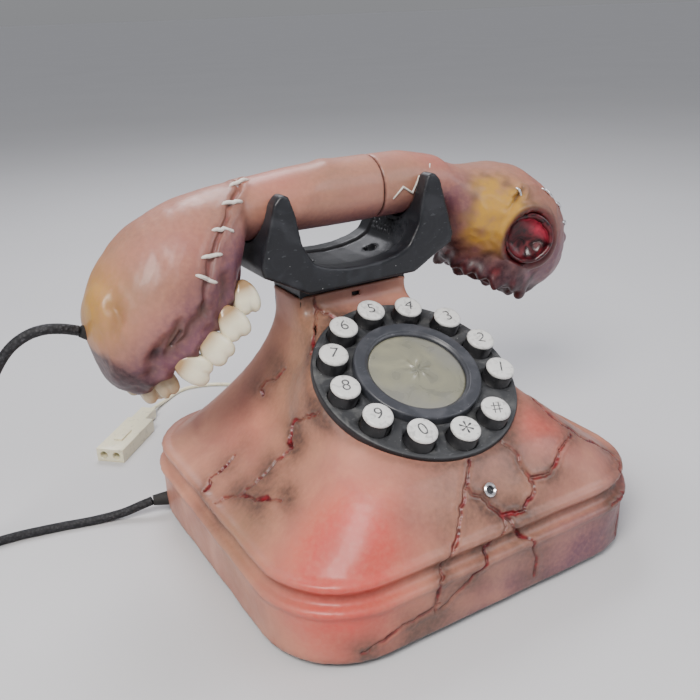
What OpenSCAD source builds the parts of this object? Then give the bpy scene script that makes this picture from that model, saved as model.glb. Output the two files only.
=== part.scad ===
// Novelty desk telephone with a flesh-look body and a creature-head handset.
// Stepped plinth, flared body, tilted ring of push buttons, sprung cradle and a lift-off handset.
// Millimetres, +X to the right seen from the front, +Y to the back, +Z up.
// The origin is on the table, under the middle of the plinth.

/* [Plinth] */
// Width of the plinth, side to side
base_w = 209; // [180:1:252]
// Depth of the plinth, front to back
base_d = 200; // [180:1:240]
// Plan radius of the plinth corners
corner_r = 42; // [34:1:50]
// Height of the rubber feet
foot_h = 3; // [2:0.5:5]
// Height of the lower tier
tier_a_h = 30; // [25:1:36]
// Height of the upper tier
tier_b_h = 11; // [9:0.5:14]
// How far the lower lip stands out of the wall
lip_out = 2.2; // [1:0.2:3]
// Wall of the body moulding
wall = 2.5; // [2:0.25:3.5]

/* [Body] */
// Height of the collar's top above the table
collar_z = 128; // [122:1:140]
// Width of the collar
collar_w = 68.8; // [60:0.2:76]
// Depth of the collar, front to back
collar_d = 33.2; // [30:0.2:38]
// Distance of the collar's middle behind the plinth's middle
collar_y = 40.4; // [36:0.2:44]
// Height of the collar's straight neck
neck_h = 12; // [8:1:16]

/* [Dial] */
// Radius of the dial plate
dial_r = 52; // [50:0.5:56]
// Slope of the dial from the table
dial_tilt = 25; // [20:1:32]
// Thickness of the dial plate
dial_t = 3; // [2:0.5:4]
// Radius of the circle of buttons
ring_r = 42.5; // [41:0.5:45]
// Radius of a push button
button_r = 7.4; // [6:0.1:7.6]
// Height of a button above the plate
button_h = 8.3; // [6:0.1:10]
// How far a button is pressed in
button_travel = 2; // [1:0.1:3]
// Outer radius of the raised bezel
bezel_r = 32.5; // [30:0.5:33]
// Radius of the frosted window
window_r = 25; // [20:0.5:28]
// Height of the bezel above the plate
bezel_h = 5; // [3:0.5:7]

/* [Cradle] */
// Width of the cradle at its widest
cradle_w = 116; // [104:1:118]
// Depth of the cradle, front to back
cradle_d = 53; // [48:1:60]
// Height of the horn tips above the collar
horn_h = 56; // [50:1:62]
// How far the cradle rises when the handset is lifted
cradle_rise = 4; // [2:0.5:6]

/* [Handset] */
// Height of the grip's axis above the collar
grip_z = 48; // [47:0.5:52]
// Radius of the grip in the middle
grip_r = 17; // [15:0.5:18]
// Wall of the handset mouldings
hand_wall = 3; // [2:0.5:4]
// Where the two halves of the handset meet, to the right of the middle
seam_x = 20; // [10:1:30]
// Radius of the mouth's opening
mouth_r = 26; // [20:0.5:28]
// Radius of the hollow socket in the ear end
socket_r = 14.5; // [10:0.5:16]

/* [Cords] */
// Diameter of the handset cord
cord_d = 5; // [4:0.5:6]
// Diameter of the plug lead
lead_d = 2.6; // [2:0.2:3.4]

/* [Hidden] */

fit = 0.4;                 // free space round a sliding post
hole_n = 48;               // facets of a round hole in the preview
EPS = 0.5;                 // how far cutters run past a face
tier_a_z = foot_h + tier_a_h;
tier_z = tier_a_z + tier_b_h;
lip_t = 5;
upper_in = 4;
lip_b_in = 0.5;
ceiling = wall;
body_in = 6.5;             // step from the plinth wall in to the foot of the flare
flare_h = collar_z - tier_z - neck_h;
collar_front = collar_y - collar_d / 2;
collar_back = collar_y + collar_d / 2;
dial_gap = 3.4;            // from the collar to the dial's edge
dial_y = collar_front - dial_r - dial_gap;
dial_z = collar_z - 31.8;
drum_r = dial_r + 5;
drum_l = 22;
well_r = dial_r - 1.2;
hip_bend = 1.6;            // how sharply the sides flare

// ---- shared outlines ----

module rounded_slab(w, d, r, h) {
    linear_extrude(height = h) {
        square([w, d - 2 * r], center = true);
        square([w - 2 * r, d], center = true);
        for (x = [-1, 1], y = [-1, 1])
            translate([x * (w / 2 - r), y * (d / 2 - r)]) circle(r = r, $fn = 96);
    }
}

// Rounded-rectangle ring of 3-D points, running anticlockwise seen from above
function plan_ring(hw, front, back, r, z, steps = 8) =
    let(cx = hw - r, yb = back - r, yf = front + r)
    [
        for (c = [[cx, yb, 0], [-cx, yb, 90], [-cx, yf, 180], [cx, yf, 270]])
        for (i = [0:steps])
        let(a = c[2] + 90 * i / steps)
        [c[0] + r * cos(a), c[1] + r * sin(a), z]
    ];

// Closed solid through a list of rings, each with the same count of points
module loft(rings) {
    n = len(rings[0]);
    m = len(rings);
    polyhedron(
        points = [for (ring = rings) each ring],
        faces = concat(
            [[for (i = [0:n - 1]) i]],
            [for (j = [0:m - 2]) for (i = [0:n - 1]) [j * n + i, (j + 1) * n + i, (j + 1) * n + (i + 1) % n]],
            [for (j = [0:m - 2]) for (i = [0:n - 1]) [j * n + i, (j + 1) * n + (i + 1) % n, j * n + (i + 1) % n]],
            [[for (i = [n - 1:-1:0]) (m - 1) * n + i]]
        )
    );
}

// The flare of the body: 1 at its foot, 0 at the neck
function flare(z) = pow(max(0, 1 - (z - tier_z) / flare_h), hip_bend);
function body_half_w(z) = collar_w / 2 + (base_w / 2 - body_in - collar_w / 2) * flare(z);
function body_back(z) = collar_back + (base_d / 2 - body_in - 0.5 - collar_back) * flare(z);
// Height runs along the dial's slope, a plate's thickness under its face
function slope_y(z) = dial_y + (z - dial_z) / tan(dial_tilt) + (dial_t - 0.9) / sin(dial_tilt);
function brow_y(z) = -base_d / 2 + 4 + 18 * pow(max(0, (z - tier_z) / 30), 1.4);
function body_front(z) = min(collar_front, max(brow_y(z), slope_y(z)));
function body_corner(z) = 5 + (corner_r - 11) * pow(flare(z), 0.7);

BODY_LEVELS = [0, 0.07, 0.17, 0.26, 0.32, 0.36, 0.4, 0.47, 0.55, 0.64, 0.74, 0.82, 0.9, 1];

// The flared body as a solid, drawn in by inset, from z_low below its foot to z_top
module flared_body(inset, z_low, z_top) {
    span = z_top - tier_z;
    foot = plan_ring(body_half_w(tier_z) - inset, body_front(tier_z) + inset,
        body_back(tier_z) - inset, max(2, body_corner(tier_z) - inset), tier_z - z_low);
    loft(concat([foot], [
        for (t = BODY_LEVELS)
        let(z = tier_z + 0.01 + t * (span - 0.01), r = max(1.5, body_corner(z) - inset))
        plan_ring(body_half_w(z) - inset, body_front(z) + inset * 1.5, body_back(z) - inset, r, z)
    ]));
}

module on_dial() {
    translate([0, dial_y, dial_z]) rotate([dial_tilt, 0, 0]) children();
}

// Corners of the plinth where the base screws stand
boss_reach = (corner_r - 8) * cos(45);
boss_x = base_w / 2 - corner_r + boss_reach;
boss_y = base_d / 2 - corner_r + boss_reach;
module at_corners() {
    for (x = [-1, 1], y = [-1, 1]) translate([x * boss_x, y * boss_y, 0]) children();
}

// ---- plinth and body ----

// The eyelet stands square to the brow of the body, below the dial
eyelet_z = tier_z + 15.5;
eyelet_y = body_front(eyelet_z);
eyelet_slope = atan2(8, body_front(eyelet_z + 4) - body_front(eyelet_z - 4));
eyelet_r = 3.3;
module at_eyelet() {
    translate([0, eyelet_y, eyelet_z]) rotate([eyelet_slope, 0, 0]) children();
}

// Glands: where the cords leave the plinth
gland_turn = 165;
gland_z = 9;
gland_pos = [
    -base_w / 2 + corner_r + corner_r * cos(gland_turn),
    base_d / 2 - corner_r + corner_r * sin(gland_turn),
    gland_z
];
lead_gland_x = 20;

module body_shell() {
    color([0.93, 0.72, 0.64])
    difference() {
        union() {
            difference() {
                union() {
                    translate([0, 0, foot_h]) rounded_slab(base_w, base_d, corner_r, tier_a_h);
                    translate([0, 0, tier_a_z - lip_t])
                        rounded_slab(base_w + 2 * lip_out, base_d + 2 * lip_out, corner_r + lip_out, lip_t);
                    translate([0, 0, tier_a_z - 1])
                        rounded_slab(base_w - 2 * upper_in, base_d - 2 * upper_in, corner_r - upper_in, tier_b_h);
                    translate([0, 0, tier_z - lip_t])
                        rounded_slab(base_w - 2 * lip_b_in, base_d - 2 * lip_b_in, corner_r - lip_b_in, lip_t);
                    flared_body(0, 2, collar_z);
                    on_dial() translate([0, 0, -dial_t - drum_l]) cylinder(h = drum_l, r = drum_r, $fn = hole_n);
                }
                translate([0, 0, foot_h - EPS])
                    rounded_slab(base_w - 2 * wall, base_d - 2 * wall, corner_r - wall, tier_a_h - ceiling + EPS);
                translate([0, 0, tier_a_z - ceiling - 1])
                    rounded_slab(base_w - 2 * (upper_in + wall), base_d - 2 * (upper_in + wall),
                        corner_r - upper_in - wall, tier_b_h - 1);
                flared_body(wall, 6, collar_z - 8);
            }
            at_corners() translate([0, 0, foot_h + wall]) cylinder(h = tier_z - foot_h - wall - 2, r = 4, $fn = hole_n);
        }
        // well for the dial, cut square to the slope
        on_dial() translate([0, 0, -dial_t - drum_l - 2]) cylinder(h = drum_l + 6, r = well_r, $fn = hole_n);
        // seat that the dial plate lies in
        on_dial() translate([0, 0, -dial_t]) cylinder(h = 12, r = dial_r + 0.1, $fn = 96);
        // opening for the cradle's post
        translate([0, collar_y, collar_z - 8])
            cube([post_w + 2 * fit, post_d + 2 * fit, 40], center = true);
        // small slot in the front of the collar
        translate([0, collar_front, collar_z - 4]) cube([5, 8, 2.4], center = true);
        at_eyelet() translate([0, 0, -12]) cylinder(h = 20, r = eyelet_r - 0.7, $fn = hole_n);
        at_corners() translate([0, 0, foot_h]) cylinder(h = 16, r = 1.5, $fn = 24);
        translate(gland_pos) rotate([0, 90, gland_turn]) translate([0, 0, -6]) cylinder(h = 14, r = 4, $fn = hole_n);
        translate([lead_gland_x, base_d / 2, gland_z]) rotate([-90, 0, 0]) translate([0, 0, -6])
            cylinder(h = 14, r = 2.6, $fn = hole_n);
    }
}

plate_t = 2.5;
plate_gap = 0.4;
plate_in = wall + plate_gap;
bat_x = 46;
bat_y = -4;
bat_w = 68;
bat_d = 54;
bat_h = 17;
cell_r = 7;
cell_l = 50;
cell_pitch = 16;
switch_x = -40;
switch_y = 62;
speaker_x = -46;
speaker_y = -38;
speaker_r = 28;
tower_w = 30;
tower_d = 22;
tower_top = 84;
board_x = -50;
board_y = 28;
board_w = 62;
board_d = 40;

module base_plate() {
    color([0.12, 0.12, 0.13])
    difference() {
        union() {
            translate([0, 0, foot_h])
                rounded_slab(base_w - 2 * plate_in, base_d - 2 * plate_in, corner_r - plate_in, plate_t);
            for (x = [-1, 1], y = [-1, 1])
                translate([board_x + x * (board_w / 2 - 4), board_y + y * (board_d / 2 - 4), foot_h + plate_t])
                    cylinder(h = 6, r = 3, $fn = hole_n);
        }
        at_corners() translate([0, 0, foot_h - EPS]) cylinder(h = 4, r = 1.8, $fn = 24);
        at_corners() translate([0, 0, foot_h - EPS]) cylinder(h = 1.2 + EPS, r = 3.2, $fn = 24);
        translate([bat_x, bat_y, foot_h + 1]) cube([bat_w, bat_d, 6], center = true);
        translate([switch_x, switch_y, foot_h + 1]) cube([13, 5, 6], center = true);
        for (a = [0:60:359], d = [8, 16])
            translate([speaker_x + d * cos(a), speaker_y + d * sin(a), foot_h - EPS])
                cylinder(h = 4, r = 1.6, $fn = 24);
        for (x = [-1, 1], y = [-1, 1])
            translate([board_x + x * (board_w / 2 - 4), board_y + y * (board_d / 2 - 4), foot_h + plate_t])
                cylinder(h = 7, r = 1.1, $fn = 24);
    }
}

foot_x = base_w / 2 - 27;
foot_y = base_d / 2 - 27;
module rubber_feet() {
    color([0.06, 0.06, 0.06])
    for (x = [-1, 1], y = [-1, 1])
        translate([x * foot_x, y * foot_y, 0]) cylinder(h = foot_h, r = 7, $fn = hole_n);
}

module base_screws() {
    color("silver")
    at_corners() {
        translate([0, 0, foot_h]) cylinder(h = 1.2, r = 3, $fn = 32);
        translate([0, 0, foot_h + 1]) cylinder(h = 12, r = 1.4, $fn = 24);
    }
}

// ---- power ----

module battery_box() {
    color([0.1, 0.1, 0.11])
    translate([bat_x, bat_y, foot_h + plate_t])
    difference() {
        translate([-bat_w / 2 - 2, -bat_d / 2 - 2, 0]) cube([bat_w + 4, bat_d + 4, bat_h]);
        translate([-bat_w / 2, -bat_d / 2, -EPS]) cube([bat_w, bat_d, bat_h - 2 + EPS]);
    }
}

cell_z = foot_h + plate_t + cell_r + 0.4;
module battery_cells() {
    color([0.2, 0.35, 0.3])
    for (i = [-1:1])
        translate([bat_x - cell_l / 2, bat_y + i * cell_pitch, cell_z]) rotate([0, 90, 0]) {
            cylinder(h = cell_l - 1.2, r = cell_r, $fn = hole_n);
            cylinder(h = cell_l, r = 2.6, $fn = 24);
        }
}

module battery_contacts() {
    color("silver")
    for (i = [-1:1], s = [-1, 1])
        translate([bat_x + s * (bat_w / 2 - 0.3), bat_y + i * cell_pitch, cell_z]) {
            cube([0.6, 12, 11], center = true);
            rotate([0, -s * 90, 0]) cylinder(h = (bat_w - cell_l) / 2 - 0.3, r1 = 5, r2 = 2.2, $fn = 24);
        }
}

module battery_door() {
    color([0.14, 0.14, 0.15])
    difference() {
        translate([bat_x, bat_y, foot_h + 0.9]) cube([bat_w - 0.6, bat_d - 0.6, 1.8], center = true);
        translate([bat_x + bat_w / 2 - 5, bat_y, 0]) cylinder(h = 20, r = 1.5, $fn = 24);
    }
}

module battery_door_screw() {
    color("silver")
    translate([bat_x + bat_w / 2 - 5, bat_y, 0]) {
        translate([0, 0, foot_h - 1.2]) cylinder(h = 1.2, r = 2.6, $fn = 32);
        translate([0, 0, foot_h - 1]) cylinder(h = 3.4, r = 1.3, $fn = 24);
    }
}

// ---- sound and control ----

board_z = foot_h + plate_t + 6;
module main_board() {
    color([0.05, 0.32, 0.14])
    difference() {
        union() {
            translate([board_x, board_y, board_z + 0.8]) cube([board_w, board_d, 1.6], center = true);
            translate([board_x - 8, board_y + 2, board_z + 3]) cube([16, 16, 3], center = true);
            translate([board_x + 16, board_y - 6, board_z + 1.6]) cylinder(h = 11, r = 4, $fn = 32);
        }
        for (x = [-1, 1], y = [-1, 1])
            translate([board_x + x * (board_w / 2 - 4), board_y + y * (board_d / 2 - 4), board_z - 1])
                cylinder(h = 4, r = 1.3, $fn = 24);
    }
}

module board_screws() {
    color("silver")
    for (x = [-1, 1], y = [-1, 1])
        translate([board_x + x * (board_w / 2 - 4), board_y + y * (board_d / 2 - 4), 0]) {
            translate([0, 0, board_z + 1.6]) cylinder(h = 1.4, r = 2.4, $fn = 24);
            translate([0, 0, board_z - 4]) cylinder(h = 6, r = 1, $fn = 24);
        }
}

speaker_z = foot_h + plate_t;
module speaker_basket() {
    color([0.35, 0.36, 0.38])
    translate([speaker_x, speaker_y, speaker_z])
    rotate_extrude($fn = hole_n)
        polygon([
            [speaker_r - 4, 0], [speaker_r, 0], [speaker_r, 2], [speaker_r - 3, 2],
            [14, 11], [10, 11], [10, 9.5], [13, 9.5], [speaker_r - 4, 1.2]
        ]);
}

module speaker_cone() {
    color([0.09, 0.09, 0.1])
    translate([speaker_x, speaker_y, speaker_z])
    rotate_extrude($fn = hole_n)
        polygon([[0, 6], [7, 8], [speaker_r - 5, 0.6], [speaker_r - 5, 1.2], [7.4, 9], [0, 7]]);
}

module speaker_magnet() {
    color([0.25, 0.25, 0.27])
    translate([speaker_x, speaker_y, speaker_z + 11]) cylinder(h = 7, r = 13, $fn = hole_n);
}

switch_travel = 2;
module mode_switch_body() {
    color([0.16, 0.16, 0.17])
    translate([switch_x, switch_y, foot_h + plate_t])
    difference() {
        translate([-11, -4.5, 0]) cube([22, 9, 7]);
        translate([-6.5, -2.2, -EPS]) cube([13, 4.4, 4.5 + EPS]);
    }
}

module mode_switch_slider() {
    color([0.75, 0.75, 0.72])
    translate([switch_x - switch_travel, switch_y, 0]) {
        translate([-2, -1.8, foot_h - 1.4]) cube([4, 3.6, 5]);
        translate([-3.6, -1.9, foot_h + plate_t + 0.4]) cube([7.2, 3.8, 3.4]);
    }
}

// ---- dial ----

BUTTONS = ["1", "2", "3", "4", "5", "6", "7", "8", "9", "0", "star", "hash"];
first_turn = -22;          // the "1" sits a little below the right-hand side
button_step = 29;          // turn from one button to the next, leaving a gap after the last
last_turn = 298.5;
function button_turn(i) = i < len(BUTTONS) - 1 ? first_turn + button_step * i : last_turn;
module at_button(i) {
    on_dial() rotate([0, 0, button_turn(i)]) translate([ring_r, 0, 0]) children();
}

module dial_plate() {
    color([0.3, 0.31, 0.33])
    difference() {
        on_dial() translate([0, 0, -dial_t]) cylinder(h = dial_t, r = dial_r, $fn = 96);
        for (i = [0:len(BUTTONS) - 1]) at_button(i)
            translate([0, 0, -dial_t - EPS]) cylinder(h = dial_t + 2 * EPS, r = button_r + 0.35, $fn = hole_n);
        on_dial() translate([0, 0, -dial_t - EPS]) cylinder(h = dial_t + 2 * EPS, r = window_r, $fn = hole_n);
    }
}

module bezel_ring() {
    color([0.15, 0.15, 0.17])
    on_dial()
    rotate_extrude($fn = 96)
        polygon([
            [window_r, 0], [bezel_r, 0], [bezel_r, bezel_h - 1], [bezel_r - 1, bezel_h],
            [window_r + 1, bezel_h - 0.6], [window_r, bezel_h - 1.6]
        ]);
}

module window_lens() {
    color([0.72, 0.7, 0.58, 0.7])
    on_dial()
    rotate_extrude($fn = 96)
        polygon([[0, 0.4], [window_r, 0.4], [window_r, 2.4], [window_r * 0.6, 3.2], [0, 3.6]]);
}

keypad_top = -dial_t - 2.6 - button_travel;
module dial_lamp() {
    color([0.85, 0.8, 0.6])
    on_dial() translate([0, 0, keypad_top]) {
        cylinder(h = 1.6, r = 14, $fn = hole_n);
        translate([0, 0, 1]) cylinder(h = 4, r = 3.5, $fn = 32);
    }
}

module keypad_mat() {
    color([0.55, 0.55, 0.57])
    on_dial() translate([0, 0, keypad_top - 1.5])
    difference() {
        cylinder(h = 1.2, r = well_r - 1.8, $fn = hole_n);
        translate([0, 0, -EPS]) cylinder(h = 3, r = ring_r - 9, $fn = hole_n);
    }
}

module keypad_board() {
    color([0.06, 0.3, 0.13])
    on_dial() translate([0, 0, keypad_top - 3.1]) {
        cylinder(h = 1.6, r = well_r - 0.3, $fn = hole_n);
        translate([0, 0, 1]) cylinder(h = 2.1, r = ring_r - 9.4, $fn = hole_n);
    }
}

button_rim = 0.6;          // flange that stops a button under the plate
module push_button(i) {
    color([0.82, 0.82, 0.8])
    at_button(i)
    rotate_extrude($fn = hole_n)
        polygon([
            [0, -dial_t - 2.6], [button_r + button_rim, -dial_t - 2.6], [button_r + button_rim, -dial_t - 0.6],
            [button_r, -dial_t - 0.6], [button_r, button_h - 1.4], [button_r - 0.9, button_h - 0.5], [0, button_h]
        ]);
}

module sensor_eyelet() {
    color([0.8, 0.8, 0.82])
    at_eyelet() translate([0, 0, 0.5])
    rotate_extrude($fn = hole_n)
        polygon([
            [eyelet_r - 1.4, -6], [eyelet_r - 0.75, -6], [eyelet_r - 0.75, 0],
            [eyelet_r, 0], [eyelet_r, 0.8], [eyelet_r - 0.7, 1.4], [eyelet_r - 1.4, 0.8]
        ]);
}

module sensor_capsule() {
    color([0.02, 0.02, 0.03])
    at_eyelet() translate([0, 0, -5.5]) cylinder(h = 5.8, r = eyelet_r - 1.45, $fn = 32);
}

// ---- cradle ----

post_w = collar_w - 3.6;
post_d = collar_d - 3.2;
post_low = tower_top + 6 + cradle_rise;
cradle_low = collar_z + 4;
tower_y = collar_y;
valley_r = grip_r + 0.8;
valley_z = collar_z + grip_z;

module hook_tower() {
    color([0.18, 0.18, 0.19])
    difference() {
        union() {
            translate([-tower_w / 2, tower_y - tower_d / 2, foot_h + plate_t])
                cube([tower_w, tower_d, tower_top - foot_h - plate_t]);
            translate([-tower_w / 2 - 4, tower_y - tower_d / 2, foot_h + plate_t]) cube([tower_w + 8, tower_d, 3]);
            translate([0, tower_y, tower_top]) cylinder(h = 6, r = 4, $fn = 32);
        }
        translate([-tower_w / 2 + 3, tower_y - tower_d / 2 + 3, foot_h + plate_t - EPS])
            cube([tower_w - 6, tower_d - 6, tower_top - foot_h - plate_t - 4]);
    }
}

module hook_switch() {
    color([0.08, 0.08, 0.09])
    translate([tower_w / 2, tower_y - 3, tower_top - 12]) {
        cube([12, 6, 10]);
        translate([6, 3, 9]) cylinder(h = post_low - 0.2 - (tower_top - 3), r = 1.5, $fn = 24);
    }
}

spring_r = 6;
spring_wire = 1.2;
spring_turns = 6;
spring_low = tower_top + spring_wire / 2 + 0.05;
spring_high = post_low + 10 - spring_wire / 2 - 0.05;
spring_steps = 12;
module hook_spring() {
    color("silver")
    translate([0, tower_y, 0])
    loft([
        for (k = [0:spring_turns * spring_steps])
        let(a = 360 * k / spring_steps, z = spring_low + (spring_high - spring_low) * k / (spring_turns * spring_steps))
        [
            for (j = [0:5])
            let(b = -60 * j, rr = spring_r + spring_wire / 2 * cos(b))
            [rr * cos(a), rr * sin(a), z + spring_wire / 2 * sin(b)]
        ]
    ]);
}

module cradle_post() {
    color([0.06, 0.06, 0.07])
    difference() {
        translate([-post_w / 2, collar_y - post_d / 2, post_low]) cube([post_w, post_d, cradle_low - post_low]);
        translate([0, tower_y, post_low - EPS]) cylinder(h = 10 + EPS, r = spring_r + 1.6, $fn = hole_n);
        translate([0, tower_y, post_low + 14]) cube([post_w - 24, post_d - 8, 7], center = true);
        for (x = [-1, 1]) translate([x * 20, collar_y, cradle_low - 16]) cylinder(h = 20, r = 1.3, $fn = 24);
    }
}

// Front outline of the cradle: a crown with two horns and a sagging saddle
saddle_drop = 19;
module crown_outline() {
    hw = cradle_w / 2;
    low = cradle_low;
    foot = collar_z + 21;
    tip = collar_z + horn_h;
    half = [
        [post_w / 2, low], [hw - 11, low + 8], [hw - 1, foot - 4], [hw, foot + 1], [hw - 9, tip - 4],
        [hw - 12, tip - 0.6], [hw - 14.5, tip], [hw - 17, tip - 1.2], [hw - 20, tip - 10],
        [hw - 23, foot + 9], [hw - 27, foot + 2]
    ];
    saddle = [
        for (i = [1:7])
        let(t = i / 8, a = 180 * t)
        [(hw - 27) * cos(a), foot + 2 - saddle_drop / 2 * sin(a)]
    ];
    polygon(concat(half, saddle, [for (i = [len(half) - 1:-1:0]) [-half[i][0], half[i][1]]]));
}

module cradle() {
    color([0.09, 0.09, 0.1])
    difference() {
        translate([0, collar_y + cradle_d / 2, 0]) rotate([90, 0, 0]) linear_extrude(height = cradle_d) crown_outline();
        // valley that the grip lies in, open at the top
        translate([-cradle_w, collar_y, valley_z]) rotate([0, 90, 0])
            cylinder(h = 2 * cradle_w, r = valley_r, $fn = 64);
        translate([-cradle_w, collar_y - valley_r, valley_z]) cube([2 * cradle_w, 2 * valley_r, 60]);
        // underside drawn in to the post, front and back
        for (s = [-1, 1])
            translate([0, collar_y + s * cradle_d / 2, cradle_low - 1]) rotate([s * -42, 0, 0])
                translate([-cradle_w, s > 0 ? 0 : -30, -10]) cube([2 * cradle_w, 30, 18]);
        for (x = [-1, 1]) translate([x * 20, collar_y, cradle_low - 5]) {
            cylinder(h = 30, r = 1.8, $fn = 24);
            translate([0, 0, 9]) cylinder(h = 30, r = 3.8, $fn = 32);
        }
    }
}

module cradle_screws() {
    color("silver")
    for (x = [-1, 1]) translate([x * 20, collar_y, 0]) {
        translate([0, 0, cradle_low + 4]) cylinder(h = 2, r = 3.4, $fn = 32);
        translate([0, 0, cradle_low - 12]) cylinder(h = 16.5, r = 1.25, $fn = 24);
    }
}

// ---- handset ----

hand_y = collar_y;
hand_z = collar_z + grip_z;

// Sections of the handset across its length: x, top, bottom and half width, from the grip's axis
MOUTH_SECTIONS = [
    [seam_x, grip_r + 0.4, grip_r, grip_r + 0.4],
    [-5, grip_r + 0.3, grip_r, grip_r + 0.2],
    [-30, grip_r - 1.2, grip_r - 0.4, grip_r],
    [-52, grip_r - 3.5, grip_r - 0.4, grip_r],
    [-60, 12.5, 17, 17.3],
    [-64, 12, 28, 23],
    [-72, 11, 44, 28.5],
    [-84, 9, 62, 32.5],
    [-98, 5, 76, 34.5],
    [-110, -1, 79, 34.5],
    [-120, -9, 80, 32.5],
    [-128, -18, 79, 28],
    [-133, -26, 74, 22],
    [-137, -35, 60, 15],
    [-139, -40, 52, 8]
];
EAR_SECTIONS = [
    [seam_x, grip_r + 0.2, grip_r, grip_r + 0.2],
    [40, grip_r + 0.2, grip_r, grip_r + 0.2],
    [56, grip_r - 3, grip_r, grip_r + 0.2],
    [60, grip_r - 4, grip_r + 0.2, grip_r + 0.3],
    [64, grip_r - 5, grip_r + 4, grip_r + 2],
    [67, 9, 38, 23],
    [78, 5, 48, 28.5],
    [92, 4, 58, 33],
    [106, 4, 68, 35.5],
    [120, 0.5, 75, 35.5],
    [132, -7, 78, 33],
    [142, -16, 75, 27],
    [150, -27, 68, 18.5],
    [155, -38, 58, 10],
    [157, -43, 51, 4]
];
section_points = 28;
// dir is -1 for sections that run to the left and 1 for those that run to the right
function hand_ring(s, dir, inset) =
    let(top = hand_z + s[1] - inset, low = hand_z - s[2] + inset, mid = (top + low) / 2, rz = (top - low) / 2)
    [
        for (i = [0:section_points - 1])
        let(a = 360 * i / section_points)
        [s[0], hand_y + dir * cos(a) * (s[3] - inset), mid + sin(a) * rz]
    ];
module hand_solid(sections, dir) {
    loft([for (s = sections) hand_ring(s, dir, 0)]);
}
module hand_hollow(sections, dir, last) {
    loft(concat(
        [hand_ring([seam_x - dir, sections[0][1], sections[0][2], sections[0][3]], dir, hand_wall)],
        [for (i = [1:last]) hand_ring(sections[i], dir, hand_wall)]
    ));
}

// The mouth opens down and inwards; its frame has z along the way out of the mouth
mouth_lean = 38.7;
mouth_edge = [-63, 0, -31];
mouth_mid = 40;
module at_mouth() {
    translate([mouth_edge[0], hand_y, hand_z + mouth_edge[2]]) rotate([180, -mouth_lean, 0])
        translate([-mouth_mid, 0, 0]) children();
}
ear_lean = 29.8;
ear_edge = [65, 0, -43];
ear_mid = 40;
module at_ear() {
    translate([ear_edge[0], hand_y, hand_z + ear_edge[2]]) rotate([180, ear_lean, 0])
        translate([ear_mid, 0, 0]) children();
}
mouth_deep = 22;
ear_deep = 16;
ear_mouth_r = 23;
// The socket looks forward and a little inwards out of the ear end
socket_pos = [107, -33.5, -36];
module at_socket() {
    translate([socket_pos[0], hand_y + socket_pos[1], hand_z + socket_pos[2]]) rotate([84, 0, -25]) children();
}
socket_deep = 9;
spigot_l = 8;
gland_tip = [-141, 42, 128.5];
gland_lean = -65;

module handset_mouth_half() {
    color([0.78, 0.6, 0.55])
    difference() {
        hand_solid(MOUTH_SECTIONS, -1);
        hand_hollow(MOUTH_SECTIONS, -1, 9);
        // cut along the mouth's plane, which stops short of the grip
        at_mouth() translate([-80, -60, 0]) cube([80 + mouth_mid + 15, 120, 60]);
        at_mouth() translate([0, 0, -mouth_deep]) cylinder(h = mouth_deep + EPS, r = mouth_r, $fn = hole_n);
        translate([seam_x - spigot_l, hand_y, hand_z]) rotate([0, 90, 0])
            cylinder(h = spigot_l + EPS, r = grip_r - 1.8, $fn = hole_n);
        translate(gland_tip) rotate([0, gland_lean, 0]) translate([0, 0, -22]) cylinder(h = 30, r = 4, $fn = hole_n);
    }
}

module handset_ear_half() {
    color([0.76, 0.6, 0.52])
    difference() {
        union() {
            hand_solid(EAR_SECTIONS, 1);
            translate([seam_x - spigot_l + 0.5, hand_y, hand_z]) rotate([0, 90, 0])
                cylinder(h = spigot_l + 6, r = grip_r - 1.9, $fn = hole_n);
        }
        hand_hollow(EAR_SECTIONS, 1, 9);
        translate([seam_x - spigot_l - EPS, hand_y, hand_z]) rotate([0, 90, 0])
            cylinder(h = spigot_l + 12, r = grip_r - 4.2, $fn = hole_n);
        at_ear() translate([-80, -60, 0]) cube([160, 120, 60]);
        at_ear() translate([0, 0, -ear_deep]) cylinder(h = ear_deep + EPS, r = ear_mouth_r, $fn = hole_n);
        at_socket() translate([0, 0, -socket_deep]) cylinder(h = socket_deep + 12, r = socket_r, $fn = hole_n);
    }
}

module cup(r, deep, t) {
    difference() {
        translate([0, 0, -deep]) cylinder(h = deep, r = r, $fn = hole_n);
        translate([0, 0, -deep + t]) cylinder(h = deep, r = r - t, $fn = hole_n);
    }
}

module mouth_liner() {
    color([0.16, 0.05, 0.06])
    at_mouth() cup(mouth_r, mouth_deep, 1.6);
}

// A tooth stands on the rim: wide at the gum, rounded at its tip
module tooth(w, l, t) {
    hull() {
        translate([0, 0, -2]) scale([w / 2 * 0.8, t / 2 * 0.9, 1]) sphere(r = 1.5, $fn = 20);
        translate([0, 0, l * 0.5]) scale([w / 2, t / 2, l * 0.3]) sphere(r = 1, $fn = 20);
        translate([0, 0, l * 0.82]) scale([w / 2 * 0.86, t / 2 * 0.7, l * 0.18]) sphere(r = 1, $fn = 20);
    }
}

// Along the rim from its inner end, out from the handset's middle, lean, width, length
UPPER_TEETH = [[5, -23, 30, 15, 17], [20, -28, 14, 16.5, 18], [36, -29.5, -2, 16.5, 19], [52, -28, -18, 16.5, 19]];
LOWER_TEETH = [[61.5, -17, 20, 13, 17], [67, -9, 26, 14, 18], [71, 6, 28, 13, 16]];
module teeth_row(rows) {
    at_mouth()
    for (t = rows)
        translate([mouth_mid - t[0], -t[1], -1.5]) rotate([-6, -t[2], 0]) tooth(t[3], t[4], 9);
}
module upper_teeth() {
    color([0.93, 0.9, 0.78]) teeth_row(UPPER_TEETH);
}
module lower_teeth() {
    color([0.75, 0.68, 0.5]) teeth_row(LOWER_TEETH);
}

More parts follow.
